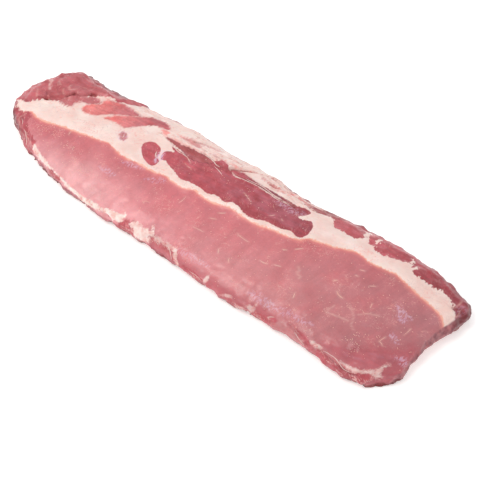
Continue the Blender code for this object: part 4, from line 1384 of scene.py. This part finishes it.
@dataclass(frozen=True)
class RibBone:
    """Fresh rib bone under its skin: ivory turning pink, satin, with dark marrow where the saw cut it."""

    ivory: str = "#e6cfc4"
    pink: str = "#c99a94"
    marrow: str = "#8c4440"
    roughness: float = 0.38
    drift_mm: float = 11.0
    coat: float = 0.25
    coat_roughness: float = 0.2
    subsurface: float = 0.15
    subsurface_mm: float = 1.5
    marrow_span: Span = (0.72, 0.6)

    def material(self) -> bpy.types.Material:
        """Build the material.

        Returns:
            The material; its attribute core says how far out from the marrow a sawn end's points lie.
        """
        made, shader, where = new_material(
            "fresh_rib_bone", Roughness=self.roughness, Coat_Weight=self.coat,
            Coat_Roughness=self.coat_roughness, Subsurface_Weight=self.subsurface,
            Subsurface_Scale=self.subsurface_mm * MM)
        tree = made.node_tree
        colour = drifting(tree, where, self.drift_mm, self.ivory, self.pink)
        core = add(tree, "ShaderNodeAttribute", None, "Fac", attribute_name="core")
        open_end = add(tree, "ShaderNodeMapRange", {
            "Value": core, "From Min": self.marrow_span[0], "From Max": self.marrow_span[1]})
        marked = add(tree, "ShaderNodeMix", {0: open_end, 6: colour, 7: linear(self.marrow)}, 2, **RGBA)
        tree.links.new(marked, shader.inputs["Base Color"])
        return made


@dataclass
class RackMap:
    """What each place of the rack is made of, and how far it stands proud or lies sunk there.

    Facing is how far up a place faces: 1 on the level, 0 on an upright side, -1 underneath.
    """

    patches: tuple[Patch, ...] = PATCHES
    creases: tuple[Crease, ...] = CREASES
    clusters: tuple[Cluster, ...] = CLUSTERS
    mounds: tuple[Mound, ...] = MOUNDS
    traces: tuple[Strand, ...] = TRACES + MARBLING
    reach_mm: float = 14.0
    fat_reach_mm: float = 60.0
    crease_reach_mm: float = 8.0
    trace_reach_mm: float = 6.0
    side_share: float = 0.64
    shoulder_mm: float = 19.0
    near_from_mm: float = -35.0
    near_over_mm: float = 12.0
    loin_lumps: float = 0.35
    edge_lumps: float = 0.7
    lumps_over_mm: float = 4.0
    least_marbling: float = 0.03
    muscle_marbling: float = 0.45
    marbled_facing: float = 0.6
    clear_of_fat_mm: float = 1.5
    clear_of_sinew_mm: float = 1.0
    inside_muscle_mm: float = 1.0
    trace_strength: float = 0.4
    trace_blur_mm: float = 0.25
    fat_swell_mm: float = 0.5
    sinew_swell_mm: float = 0.3
    sinew_swell_at: float = 0.3
    swell_over_mm: float = 3.0
    open_crease_mm: float = 1.6
    crease_shadow: float = 0.75
    lip: float = 0.3
    lip_out: float = 2.2
    lip_reach_mm: float = 10.0
    level_facing: float = 0.4
    near_relief_facing: float = -0.3
    mound_facing: float = -0.5

    def near_share(self, places: np.ndarray) -> np.ndarray:
        """How much each place belongs to the near edge, from 0 to 1."""
        return np.clip((self.near_from_mm - places[:, 1]) / self.near_over_mm, 0.0, 1.0)

    def plan(self, places: np.ndarray) -> np.ndarray:
        """Lay the rack out flat, so that its near side follows on from its top.

        Args:
            places: Points on the rack, a row for each.

        Returns:
            The plan points.
        """
        drop = np.maximum(0.0, self.shoulder_mm - places[:, 2])
        down = places[:, 1] - self.side_share * drop * self.near_share(places)
        return np.column_stack([places[:, 0], down])

    def write(self, mesh: bpy.types.Mesh) -> dict[str, np.ndarray]:
        """Write the tissues onto a mesh as attributes.

        Args:
            mesh: The meat's mesh, still in its plain form.

        Returns:
            The values written, by attribute.
        """
        places, normals = places_of(mesh), normals_of(mesh)
        plan, near = self.plan(places), self.near_share(places)
        values = {tissue.value: np.full(len(places), -self.reach_mm) for tissue in Tissue}
        borders = {tissue.value: np.ones((len(places), 3)) for tissue in Tissue}
        tone = np.full(len(places), Tone.DARK.value)
        lumpy = self.loin_lumps + self.edge_lumps * near
        for patch in self.patches:
            outline = rounded(patch.outline, closed=True)
            whole = patch.tissue is Tissue.FAT
            depth = near_line(plan, outline, True, self.fat_reach_mm if whole else self.reach_mm)
            held, border = values[patch.tissue.value], borders[patch.tissue.value]
            closer = depth > held
            border[closer] = patch.soft_mm, patch.torn, patch.share
            if patch.tissue is Tissue.MUSCLE:
                left, right = outline[:, 0].min(), outline[:, 0].max()
                along = np.clip((plan[:, 0] - left) / (right - left), 0.0, 1.0)
                shade = patch.left.value + (patch.right.value - patch.left.value) * along
                tone = np.where(closer, shade, tone)
            lumpy = np.maximum(lumpy, patch.lumps * across(depth, self.lumps_over_mm))
            values[patch.tissue.value] = depth if whole else np.where(closer, depth, held)
            log.debug("%s reaches %.1f mm in", patch.name, depth.max())
        values.update(tone=tone, lumpy=lumpy, near=near, facing=normals[:, 2])
        values.update({f"{name}_border": border for name, border in borders.items()})
        values["trace"] = self._traced(plan)
        values.update(self._gaps(plan))
        values["marbling"] = self._marbling(plan, values)
        for name, numbers in values.items():
            store(mesh, name, numbers)
        return values

    def _gaps(self, plan: np.ndarray) -> dict[str, np.ndarray]:
        """Work out where the creases lie.

        Args:
            plan: The plan points.

        Returns:
            How deep a crease each place is in, which sets its painted shade, and how far and to which side of
            the nearest one it lies.
        """
        gap = np.zeros(len(plan))
        nearest = np.full(len(plan), self.crease_reach_mm)
        for crease in self.creases:
            side = near_line(plan, rounded(crease.path, closed=False), False, self.crease_reach_mm)
            depth = min(crease.depth_mm / self.open_crease_mm, 1.0) ** 2
            gap = np.maximum(gap, depth * bell(side, self.crease_shadow * crease.width_mm))
            nearest = np.where(np.abs(side) < np.abs(nearest), side, nearest)
        return {"crease": gap, "crease_side": nearest}

    def _traced(self, plan: np.ndarray) -> np.ndarray:
        """Work out how strongly a line of sinew or fat shows through.

        Args:
            plan: The plan points.

        Returns:
            The share at each place.
        """
        shown = np.zeros(len(plan))
        for line in self.traces:
            away = near_line(plan, rounded(line.path, closed=False), False, self.trace_reach_mm)
            width = self.trace_blur_mm + line.width_mm / 2
            shown = np.maximum(shown, self.trace_strength * bell(away, width))
        return shown

    def _marbling(self, plan: np.ndarray, values: dict[str, np.ndarray]) -> np.ndarray:
        """Work out how thickly flecks of fat lie, as a share of the thickest.

        Args:
            plan: The plan points.
            values: The tissues, as write has them.

        Returns:
            The share at each place.
        """
        share = np.full(len(plan), self.least_marbling)
        for cluster in self.clusters:
            away = np.hypot(plan[:, 0] - cluster.x_mm, plan[:, 1] - cluster.y_mm)
            share = np.maximum(share, bell(away, cluster.radius_mm))
        fat, muscle, sinew = values["fat"], values["muscle"], values["sinew"]
        loin = np.maximum(fat, sinew) < -self.clear_of_fat_mm
        lean = loin | ((muscle > self.inside_muscle_mm) & (sinew < -self.clear_of_sinew_mm))
        share = np.where(muscle > 0.0, self.muscle_marbling * share, share)
        return share * lean * (values["facing"] > self.marbled_facing)

    def relief(self, mesh: bpy.types.Mesh, values: dict[str, np.ndarray]) -> np.ndarray:
        """Work out how far each vertex stands proud of the plain form.

        Args:
            mesh: The meat's mesh.
            values: What write gave.

        Returns:
            Heights in mm, along the normals.
        """
        places = places_of(mesh)
        plan = self.plan(places)
        fatty = np.minimum(values["fat"], -values["muscle"])
        height = self.fat_swell_mm * (across(fatty, self.swell_over_mm) - 0.5)
        height += self.sinew_swell_mm * across(values["sinew"], self.swell_over_mm, self.sinew_swell_at)
        for crease in self.creases:
            side = near_line(plan, rounded(crease.path, closed=False), False, self.lip_reach_mm)
            from_lip = np.abs(side) - self.lip_out * crease.width_mm
            height -= crease.depth_mm * bell(side, crease.width_mm)
            height += self.lip * crease.depth_mm * bell(from_lip, crease.width_mm)
        top = smooth(values["facing"] / self.level_facing)
        height *= np.maximum(top, values["near"] * (values["facing"] > self.near_relief_facing))
        outside = values["facing"] > self.mound_facing
        for mound in self.mounds:
            away = np.hypot(places[:, 0] - mound.x_mm, places[:, 1] - mound.y_mm)
            height += mound.height_mm * bell(away, mound.radius_mm) * outside
        return height


@dataclass
class MeatSlab:
    """The loin, the fat and the meat between the ribs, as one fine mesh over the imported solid.

    What rises past top_mm is pressed back by the share held_down, and what would dip below the surface that
    the rack lies on is laid flat on it.
    """

    node: str = "meat"
    voxel_mm: float = 1.38
    smoothing: int = 14
    lump_mm: float = 1.4
    lump_size_mm: float = 14.0
    grain_mm: float = 0.25
    grain_size_mm: float = 3.0
    rim_mm: float = 1.7
    rim_size_mm: float = 6.5
    rim_facing: Span = (0.95, 0.4)
    fold_mm: float = 2.4
    fold_size_mm: float = 9.0
    fold_squeeze: float = 0.22
    fold_depth_mm: Span = (22.0, 45.0)
    top_mm: float = 34.8
    held_down: float = 0.55

    def build(self, node: bpy.types.Object, rack: RackMap,
              material: bpy.types.Material) -> bpy.types.Object:
        """Build the meat.

        Args:
            node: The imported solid.
            rack: What it is made of where.
            material: Its finish.

        Returns:
            The finished piece.
        """
        meat = copy_of(node, "meat_fat_and_sinew")
        remesh = meat.modifiers.new("even", "REMESH")
        remesh.mode = "VOXEL"
        remesh.voxel_size = self.voxel_mm * MM
        soften = meat.modifiers.new("soften", "SMOOTH")
        soften.iterations = self.smoothing
        settle(meat)
        drop_scraps(meat.data)
        values = rack.write(meat.data)
        raised = rack.relief(meat.data, values)[:, None] * normals_of(meat.data)
        place(meat.data, places_of(meat.data) + raised)
        run_tree(meat, self._surface(), material)
        places = places_of(meat.data)
        over = np.maximum(places[:, 2] - self.top_mm, 0.0)
        places[:, 2] = np.maximum(places[:, 2] - self.held_down * over, 0.0)
        place(meat.data, places)
        return meat

    def _surface(self) -> Tree:
        """Make the relief of cut and torn meat.

        Returns:
            A tree that lays lumps and grain along the normals, a rougher wave round the steep rim, and long
            folds far in on the fat cap.
        """
        tree, start, end = new_tree("cut_surface", {
            "Lump": self.lump_mm * MM, "Lump Size": self.lump_size_mm * MM,
            "Grain": self.grain_mm * MM, "Grain Size": self.grain_size_mm * MM,
            "Rim": self.rim_mm * MM, "Rim Size": self.rim_size_mm * MM,
            "Fold": self.fold_mm * MM, "Fold Size": self.fold_size_mm * MM})
        facing = add(tree, "GeometryNodeInputNamedAttribute", {"Name": "facing"})
        lumpy = add(tree, "GeometryNodeInputNamedAttribute", {"Name": "lumpy"})
        steep = add(tree, "ShaderNodeMapRange", {
            "Value": facing, "From Min": self.rim_facing[0], "From Max": self.rim_facing[1]})
        depth = add(tree, "GeometryNodeInputNamedAttribute", {"Name": Tissue.FAT.value})
        cap = add(tree, "ShaderNodeMapRange", {
            "Value": depth, "From Min": self.fold_depth_mm[0], "From Max": self.fold_depth_mm[1]})
        total = 0.0
        for name, share, squeeze in (("Lump", lumpy, 1.0), ("Grain", 1.0, 1.0), ("Rim", steep, 1.0),
                                     ("Fold", cap, self.fold_squeeze)):
            height = noisy_offset(tree, start.outputs[name], start.outputs[f"{name} Size"], squeeze)
            total = add(tree, "ShaderNodeMath", {0: height, 1: share, 2: total}, operation="MULTIPLY_ADD")
        normal = add(tree, "GeometryNodeInputNormal")
        offset = add(tree, "ShaderNodeVectorMath", {0: normal, "Scale": total}, operation="SCALE")
        moved = add(tree, "GeometryNodeSetPosition", {
            "Geometry": start.outputs["Geometry"], "Offset": offset})
        return end_tree(tree, moved, start, end)


@dataclass
class RibCage:
    """The twelve rib bones along the underside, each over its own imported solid."""

    count: int = 12
    levels: int = 2
    sharp_deg: float = 50.0
    edge_crease: float = 0.75
    wear_mm: float = 0.15
    wear_size_mm: float = 8.0
    end_facing: float = 0.7

    def build(self, nodes: dict[str, bpy.types.Object],
              material: bpy.types.Material) -> list[bpy.types.Object]:
        """Build the bones.

        Args:
            nodes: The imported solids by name.
            material: The bones' finish.

        Returns:
            The bones, each named for its solid.
        """
        tree = self._bone()
        bones = []
        for number in range(1, self.count + 1):
            bone = copy_of(nodes[f"rib_{number:02d}"], f"rib_bone_{number:02d}")
            run_tree(bone, tree, material)
            store(bone.data, "core", self._core(bone.data))
            bones.append(bone)
        return bones

    def _bone(self) -> Tree:
        """Make the shape of one bone.

        Returns:
            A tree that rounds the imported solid, keeps its sawn ends crisp and wears its surface a little.
        """
        tree, start, end = new_tree("rib_bone", {
            "Levels": self.levels, "Edge Crease": self.edge_crease,
            "Wear": self.wear_mm * MM, "Wear Size": self.wear_size_mm * MM})
        angle = add(tree, "GeometryNodeInputMeshEdgeAngle")
        sharp = add(tree, "ShaderNodeMath", {0: angle, 1: math.radians(self.sharp_deg)},
                    operation="GREATER_THAN")
        crease = add(tree, "ShaderNodeMath", {0: sharp, 1: start.outputs["Edge Crease"]},
                     operation="MULTIPLY")
        fine = add(tree, "GeometryNodeSubdivisionSurface", {
            "Mesh": start.outputs["Geometry"], "Level": start.outputs["Levels"], "Edge Crease": crease})
        wear = noisy_offset(tree, start.outputs["Wear"], start.outputs["Wear Size"])
        normal = add(tree, "GeometryNodeInputNormal")
        offset = add(tree, "ShaderNodeVectorMath", {0: normal, "Scale": wear}, operation="SCALE")
        worn = add(tree, "GeometryNodeSetPosition", {"Geometry": fine, "Offset": offset})
        return end_tree(tree, worn, start, end)

    def _core(self, mesh: bpy.types.Mesh) -> np.ndarray:
        """Mark the marrow in a bone's two sawn ends.

        Args:
            mesh: The bone's mesh.

        Returns:
            How far out each point of an end lies, from 0 at its middle to 1 at its rim and on the shaft.
        """
        places, normals = places_of(mesh), normals_of(mesh)
        core = np.ones(len(places))
        for side in (-1, 1):
            end = normals[:, 1] * side > self.end_facing
            least, most = places[end].min(0), places[end].max(0)
            offset = (places[end] - (most + least) / 2) / ((most - least) / 2)
            core[end] = np.hypot(offset[:, 0], offset[:, 2])
        return core


@dataclass
class SurfaceStrands:
    """Strands that follow paths over the top: sinew, or the larger strokes of marbling.

    Each is slimness times as wide as its Strand says, flatness times as thick as wide, and sunk by a share
    of half its thickness. At its ends the share tip of its width is left, and a fullness below 1 keeps it
    wide for most of its length.
    """

    name: str
    strands: tuple[Strand, ...]
    slimness: float = 0.75
    flatness: float = 0.5
    sunk: float = 0.2
    tip: float = 0.12
    fullness: float = 0.6
    above_mm: float = 100.0
    splits: int = 8
    step_mm: float = 0.9
    wave_mm: float = 0.35
    wave_size_mm: float = 3.5
    sides: int = 8

    def build(self, meat: bpy.types.Object, material: bpy.types.Material) -> bpy.types.Object:
        """Lay the strands on the meat.

        Args:
            meat: The finished meat.
            material: The strands' finish.

        Returns:
            One piece that holds them all.
        """
        surface = BVHTree.FromPolygons([v.co.copy() for v in meat.data.vertices],
                                       [tuple(p.vertices) for p in meat.data.polygons])
        points, widths, edges = [], [], []
        for strand in self.strands:
            path = rounded(strand.path, closed=False, parts=self.splits)
            for i, (x, y) in enumerate(path):
                share = i / (len(path) - 1)
                swell = self.tip + (1 - self.tip) * math.sin(math.pi * share) ** self.fullness
                half = self.slimness * strand.width_mm / 2 * swell
                hit = surface.ray_cast(Vector((x, y, self.above_mm)) * MM, Vector((0, 0, -1)))[0]
                if i and hit:
                    edges.append((len(points) - 1, len(points)))
                sink = Vector((0, 0, self.sunk * self.flatness * half * MM))
                points.append((hit or Vector(points[-1])) - sink)
                widths.append(half * MM)
        mesh = bpy.data.meshes.new(self.name)
        mesh.from_pydata(points, edges, [])
        store(mesh, "half_width", np.array(widths))
        return run_tree(new_object(mesh, self.name), self._tree(), material)

    def _tree(self) -> Tree:
        """Make the strands' bodies.

        Returns:
            A tree that sweeps a flat oval along every path, as wide as the path's points say.
        """
        tree, start, end = new_tree(self.name, {
            "Step": self.step_mm * MM, "Flatness": self.flatness, "Wave": self.wave_mm * MM,
            "Wave Size": self.wave_size_mm * MM, "Sides": self.sides})
        curve = add(tree, "GeometryNodeMeshToCurve", {"Mesh": start.outputs["Geometry"]})
        even = add(tree, "GeometryNodeResampleCurve", {"Curve": curve, "Length": start.outputs["Step"]},
                   mode="LENGTH")
        upright = add(tree, "GeometryNodeSetCurveNormal", {"Curve": even}, mode="Z_UP")
        scale = add(tree, "ShaderNodeMath", {0: 1.0, 1: start.outputs["Wave Size"]}, operation="DIVIDE")
        noise = add(tree, "ShaderNodeTexNoise", {"Scale": scale, "Detail": 1.0}, "Color")
        centred = add(tree, "ShaderNodeVectorMath", {0: noise, 1: (NOISE_MIDDLE,) * 3},
                      operation="SUBTRACT")
        sideways = add(tree, "ShaderNodeVectorMath", {0: centred, 1: (1.0, 1.0, 0.0)}, operation="MULTIPLY")
        offset = add(tree, "ShaderNodeVectorMath", {0: sideways, "Scale": start.outputs["Wave"]},
                     operation="SCALE")
        wavy = add(tree, "GeometryNodeSetPosition", {"Geometry": upright, "Offset": offset})
        circle = add(tree, "GeometryNodeCurvePrimitiveCircle", {
            "Resolution": start.outputs["Sides"], "Radius": 1.0})
        oval = add(tree, "ShaderNodeCombineXYZ", {"X": 1.0, "Y": start.outputs["Flatness"], "Z": 1.0})
        profile = add(tree, "GeometryNodeTransform", {"Geometry": circle, "Scale": oval})
        width = add(tree, "GeometryNodeInputNamedAttribute", {"Name": "half_width"})
        swept = add(tree, "GeometryNodeCurveToMesh", {
            "Curve": wavy, "Profile Curve": profile, "Scale": width, "Fill Caps": True})
        return end_tree(tree, swept, start, end)


@dataclass
class MarblingFlecks:
    """Fine flecks of fat in the lean, scattered over the top and thickest in a few clusters."""

    name: str = "marbling_flecks"
    thickest_per_cm2: float = 40.0
    least_half_mm: Triple = (0.25, 0.16, 0.07)
    most_half_mm: Triple = (0.75, 0.38, 0.13)
    seed: int = 5

    def build(self, meat: bpy.types.Object, material: bpy.types.Material) -> bpy.types.Object:
        """Scatter the flecks.

        Args:
            meat: The finished meat, whose attribute marbling says where they lie thickest.
            material: The flecks' finish.

        Returns:
            One piece that holds them all.
        """
        flecks = new_object(meat.data.copy(), self.name)
        return run_tree(flecks, self._tree(), material)

    def _tree(self) -> Tree:
        """Make and place the flecks.

        Returns:
            A tree that puts a flat grain of 20 faces, its size and turn drawn at random, on each spot.
        """
        tree, start, end = new_tree(self.name, {
            "Thickest": self.thickest_per_cm2 / (10 * MM) ** 2, "Seed": self.seed})
        share = add(tree, "GeometryNodeInputNamedAttribute", {"Name": "marbling"})
        density = add(tree, "ShaderNodeMath", {0: share, 1: start.outputs["Thickest"]},
                      operation="MULTIPLY")
        spots = add(tree, "GeometryNodeDistributePointsOnFaces", {
            "Mesh": start.outputs["Geometry"], "Density": density, "Seed": start.outputs["Seed"]})
        grain = add(tree, "GeometryNodeMeshIcoSphere", {"Radius": 1.0, "Subdivisions": 1})
        size = add(tree, "FunctionNodeRandomValue", {
            0: tuple(half * MM for half in self.least_half_mm),
            1: tuple(half * MM for half in self.most_half_mm), "Seed": start.outputs["Seed"]},
            data_type="FLOAT_VECTOR")
        grains = add(tree, "GeometryNodeInstanceOnPoints", {
            "Points": spots, "Instance": grain, "Rotation": spots.node.outputs["Rotation"], "Scale": size})
        turn = add(tree, "FunctionNodeRandomValue", {
            0: (0.0, 0.0, 0.0), 1: (0.0, 0.0, math.pi), "Seed": start.outputs["Seed"]},
            data_type="FLOAT_VECTOR")
        turned = add(tree, "GeometryNodeRotateInstances", {
            "Instances": grains, "Rotation": turn, "Local Space": True})
        return end_tree(tree, turned, start, end)


@dataclass(frozen=True)
class Lamp:
    """A round soft lamp that shines on the middle of the rack."""

    name: str
    place_mm: Triple
    size_mm: float
    power: float
    colour: str

    def hang(self) -> None:
        """Hang the lamp in the scene."""
        data = bpy.data.lights.new(self.name, "AREA")
        data.shape = "DISK"
        data.size = self.size_mm * MM
        data.energy = self.power
        data.color = linear(self.colour)[:3]
        lamp = new_object(data, self.name)
        lamp.location = Vector(self.place_mm) * MM
        lamp.rotation_mode = "QUATERNION"
        lamp.rotation_quaternion = (-lamp.location).to_track_quat("-Z", "Y")


@dataclass
class Studio:
    """The pale floor, the soft lights and the camera at the photograph's angle."""

    azimuth_deg: float = 40.0
    elevation_deg: float = 50.0
    distance_mm: float = 1004.0
    target_mm: Triple = (41.5, -15.1, 15.0)
    lens_mm: float = 90.0
    sensor_mm: float = 36.0
    floor_mm: float = 16000.0
    floor_sides: int = 64
    floor_colour: str = "#fbfbfb"
    floor_glow: float = 0.35
    sky: float = 0.72
    sky_colour: str = "#fffdfb"
    lamps: tuple[Lamp, ...] = (
        Lamp("key", (-500.0, -700.0, 1500.0), 900.0, 9.5, "#fffaf5"),
        Lamp("glint", (-500.0, 900.0, 1200.0), 500.0, 1.6, "#e6e4ff"))

    def camera(self) -> None:
        """Set up the camera."""
        azimuth = math.radians(self.azimuth_deg)
        elevation = math.radians(self.elevation_deg)
        level = math.cos(elevation)
        back = Vector((math.sin(azimuth) * level, -math.cos(azimuth) * level, math.sin(elevation)))
        data = bpy.data.cameras.new("camera")
        data.lens = self.lens_mm
        data.sensor_width = self.sensor_mm
        camera = new_object(data, "camera")
        camera.location = (Vector(self.target_mm) + back * self.distance_mm) * MM
        camera.rotation_mode = "QUATERNION"
        camera.rotation_quaternion = (-back).to_track_quat("-Z", "Y")
        bpy.context.scene.camera = camera

    def floor(self) -> None:
        """Lay the floor, which isn't part of the object."""
        solid = bmesh.new()
        bmesh.ops.create_circle(solid, cap_ends=True, radius=self.floor_mm / 2 * MM,
                              segments=self.floor_sides)
        mesh = bpy.data.meshes.new("floor")
        solid.to_mesh(mesh)
        solid.free()
        paper = new_material(
            "matt_white_paper", Base_Color=linear(self.floor_colour), Roughness=0.9,
            Specular_IOR_Level=0.1, Emission_Color=linear("#ffffff"), Emission_Strength=self.floor_glow)[0]
        mesh.materials.append(paper)
        new_object(mesh, "floor")

    def lights(self) -> None:
        """Light the room: an even bright sky, a large soft key and a cool lamp behind for the glints."""
        world = bpy.data.worlds.new("bright_room")
        world.use_nodes = True
        sky = world.node_tree.nodes["Background"]
        sky.inputs["Color"].default_value = linear(self.sky_colour)
        sky.inputs["Strength"].default_value = self.sky
        bpy.context.scene.world = world
        for lamp in self.lamps:
            lamp.hang()

    def build(self) -> None:
        """Set up the camera, the floor and the lights."""
        self.camera()
        self.floor()
        self.lights()
        bpy.context.scene.view_settings.view_transform = "Standard"


def ride(piece: bpy.types.Object, slot: str, *nodes: str) -> None:
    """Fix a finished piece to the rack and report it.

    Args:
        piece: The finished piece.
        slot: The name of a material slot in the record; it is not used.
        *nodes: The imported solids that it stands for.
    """
    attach(piece, BODY)
    if nodes:
        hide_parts(*nodes)
    triangles = sum(len(p.vertices) - 2 for p in piece.data.polygons)
    log.info("%s: %d triangles, stands for %s", piece.name, triangles, ", ".join(nodes) or "nothing")


def main() -> None:
    logging.basicConfig(level=logging.INFO, format="%(message)s")
    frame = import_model()
    nodes = frame["nodes"]
    Studio().build()

    slab = MeatSlab()
    meat = slab.build(nodes[slab.node], RackMap(), RawPork().material())
    ride(meat, "meat", slab.node)

    for bone in RibCage().build(nodes, RibBone().material()):
        ride(bone, "bone", bone.name.replace("rib_bone", "rib"))

    skin = ConnectiveTissue("silverskin_and_sinew", "#efd3cb", "#dfb0ab").material()
    ride(SurfaceStrands("sinew_strands", STRANDS).build(meat, skin), "meat")
    fat = ConnectiveTissue("intramuscular_fat", "#ffcfbd", "#f2ae9f").material()
    strokes = SurfaceStrands("marbling_strokes", MARBLING, slimness=0.55, flatness=0.3)
    ride(strokes.build(meat, fat), "meat")
    ride(MarblingFlecks().build(meat, fat), "meat")


if __name__ == "__main__":
    main()
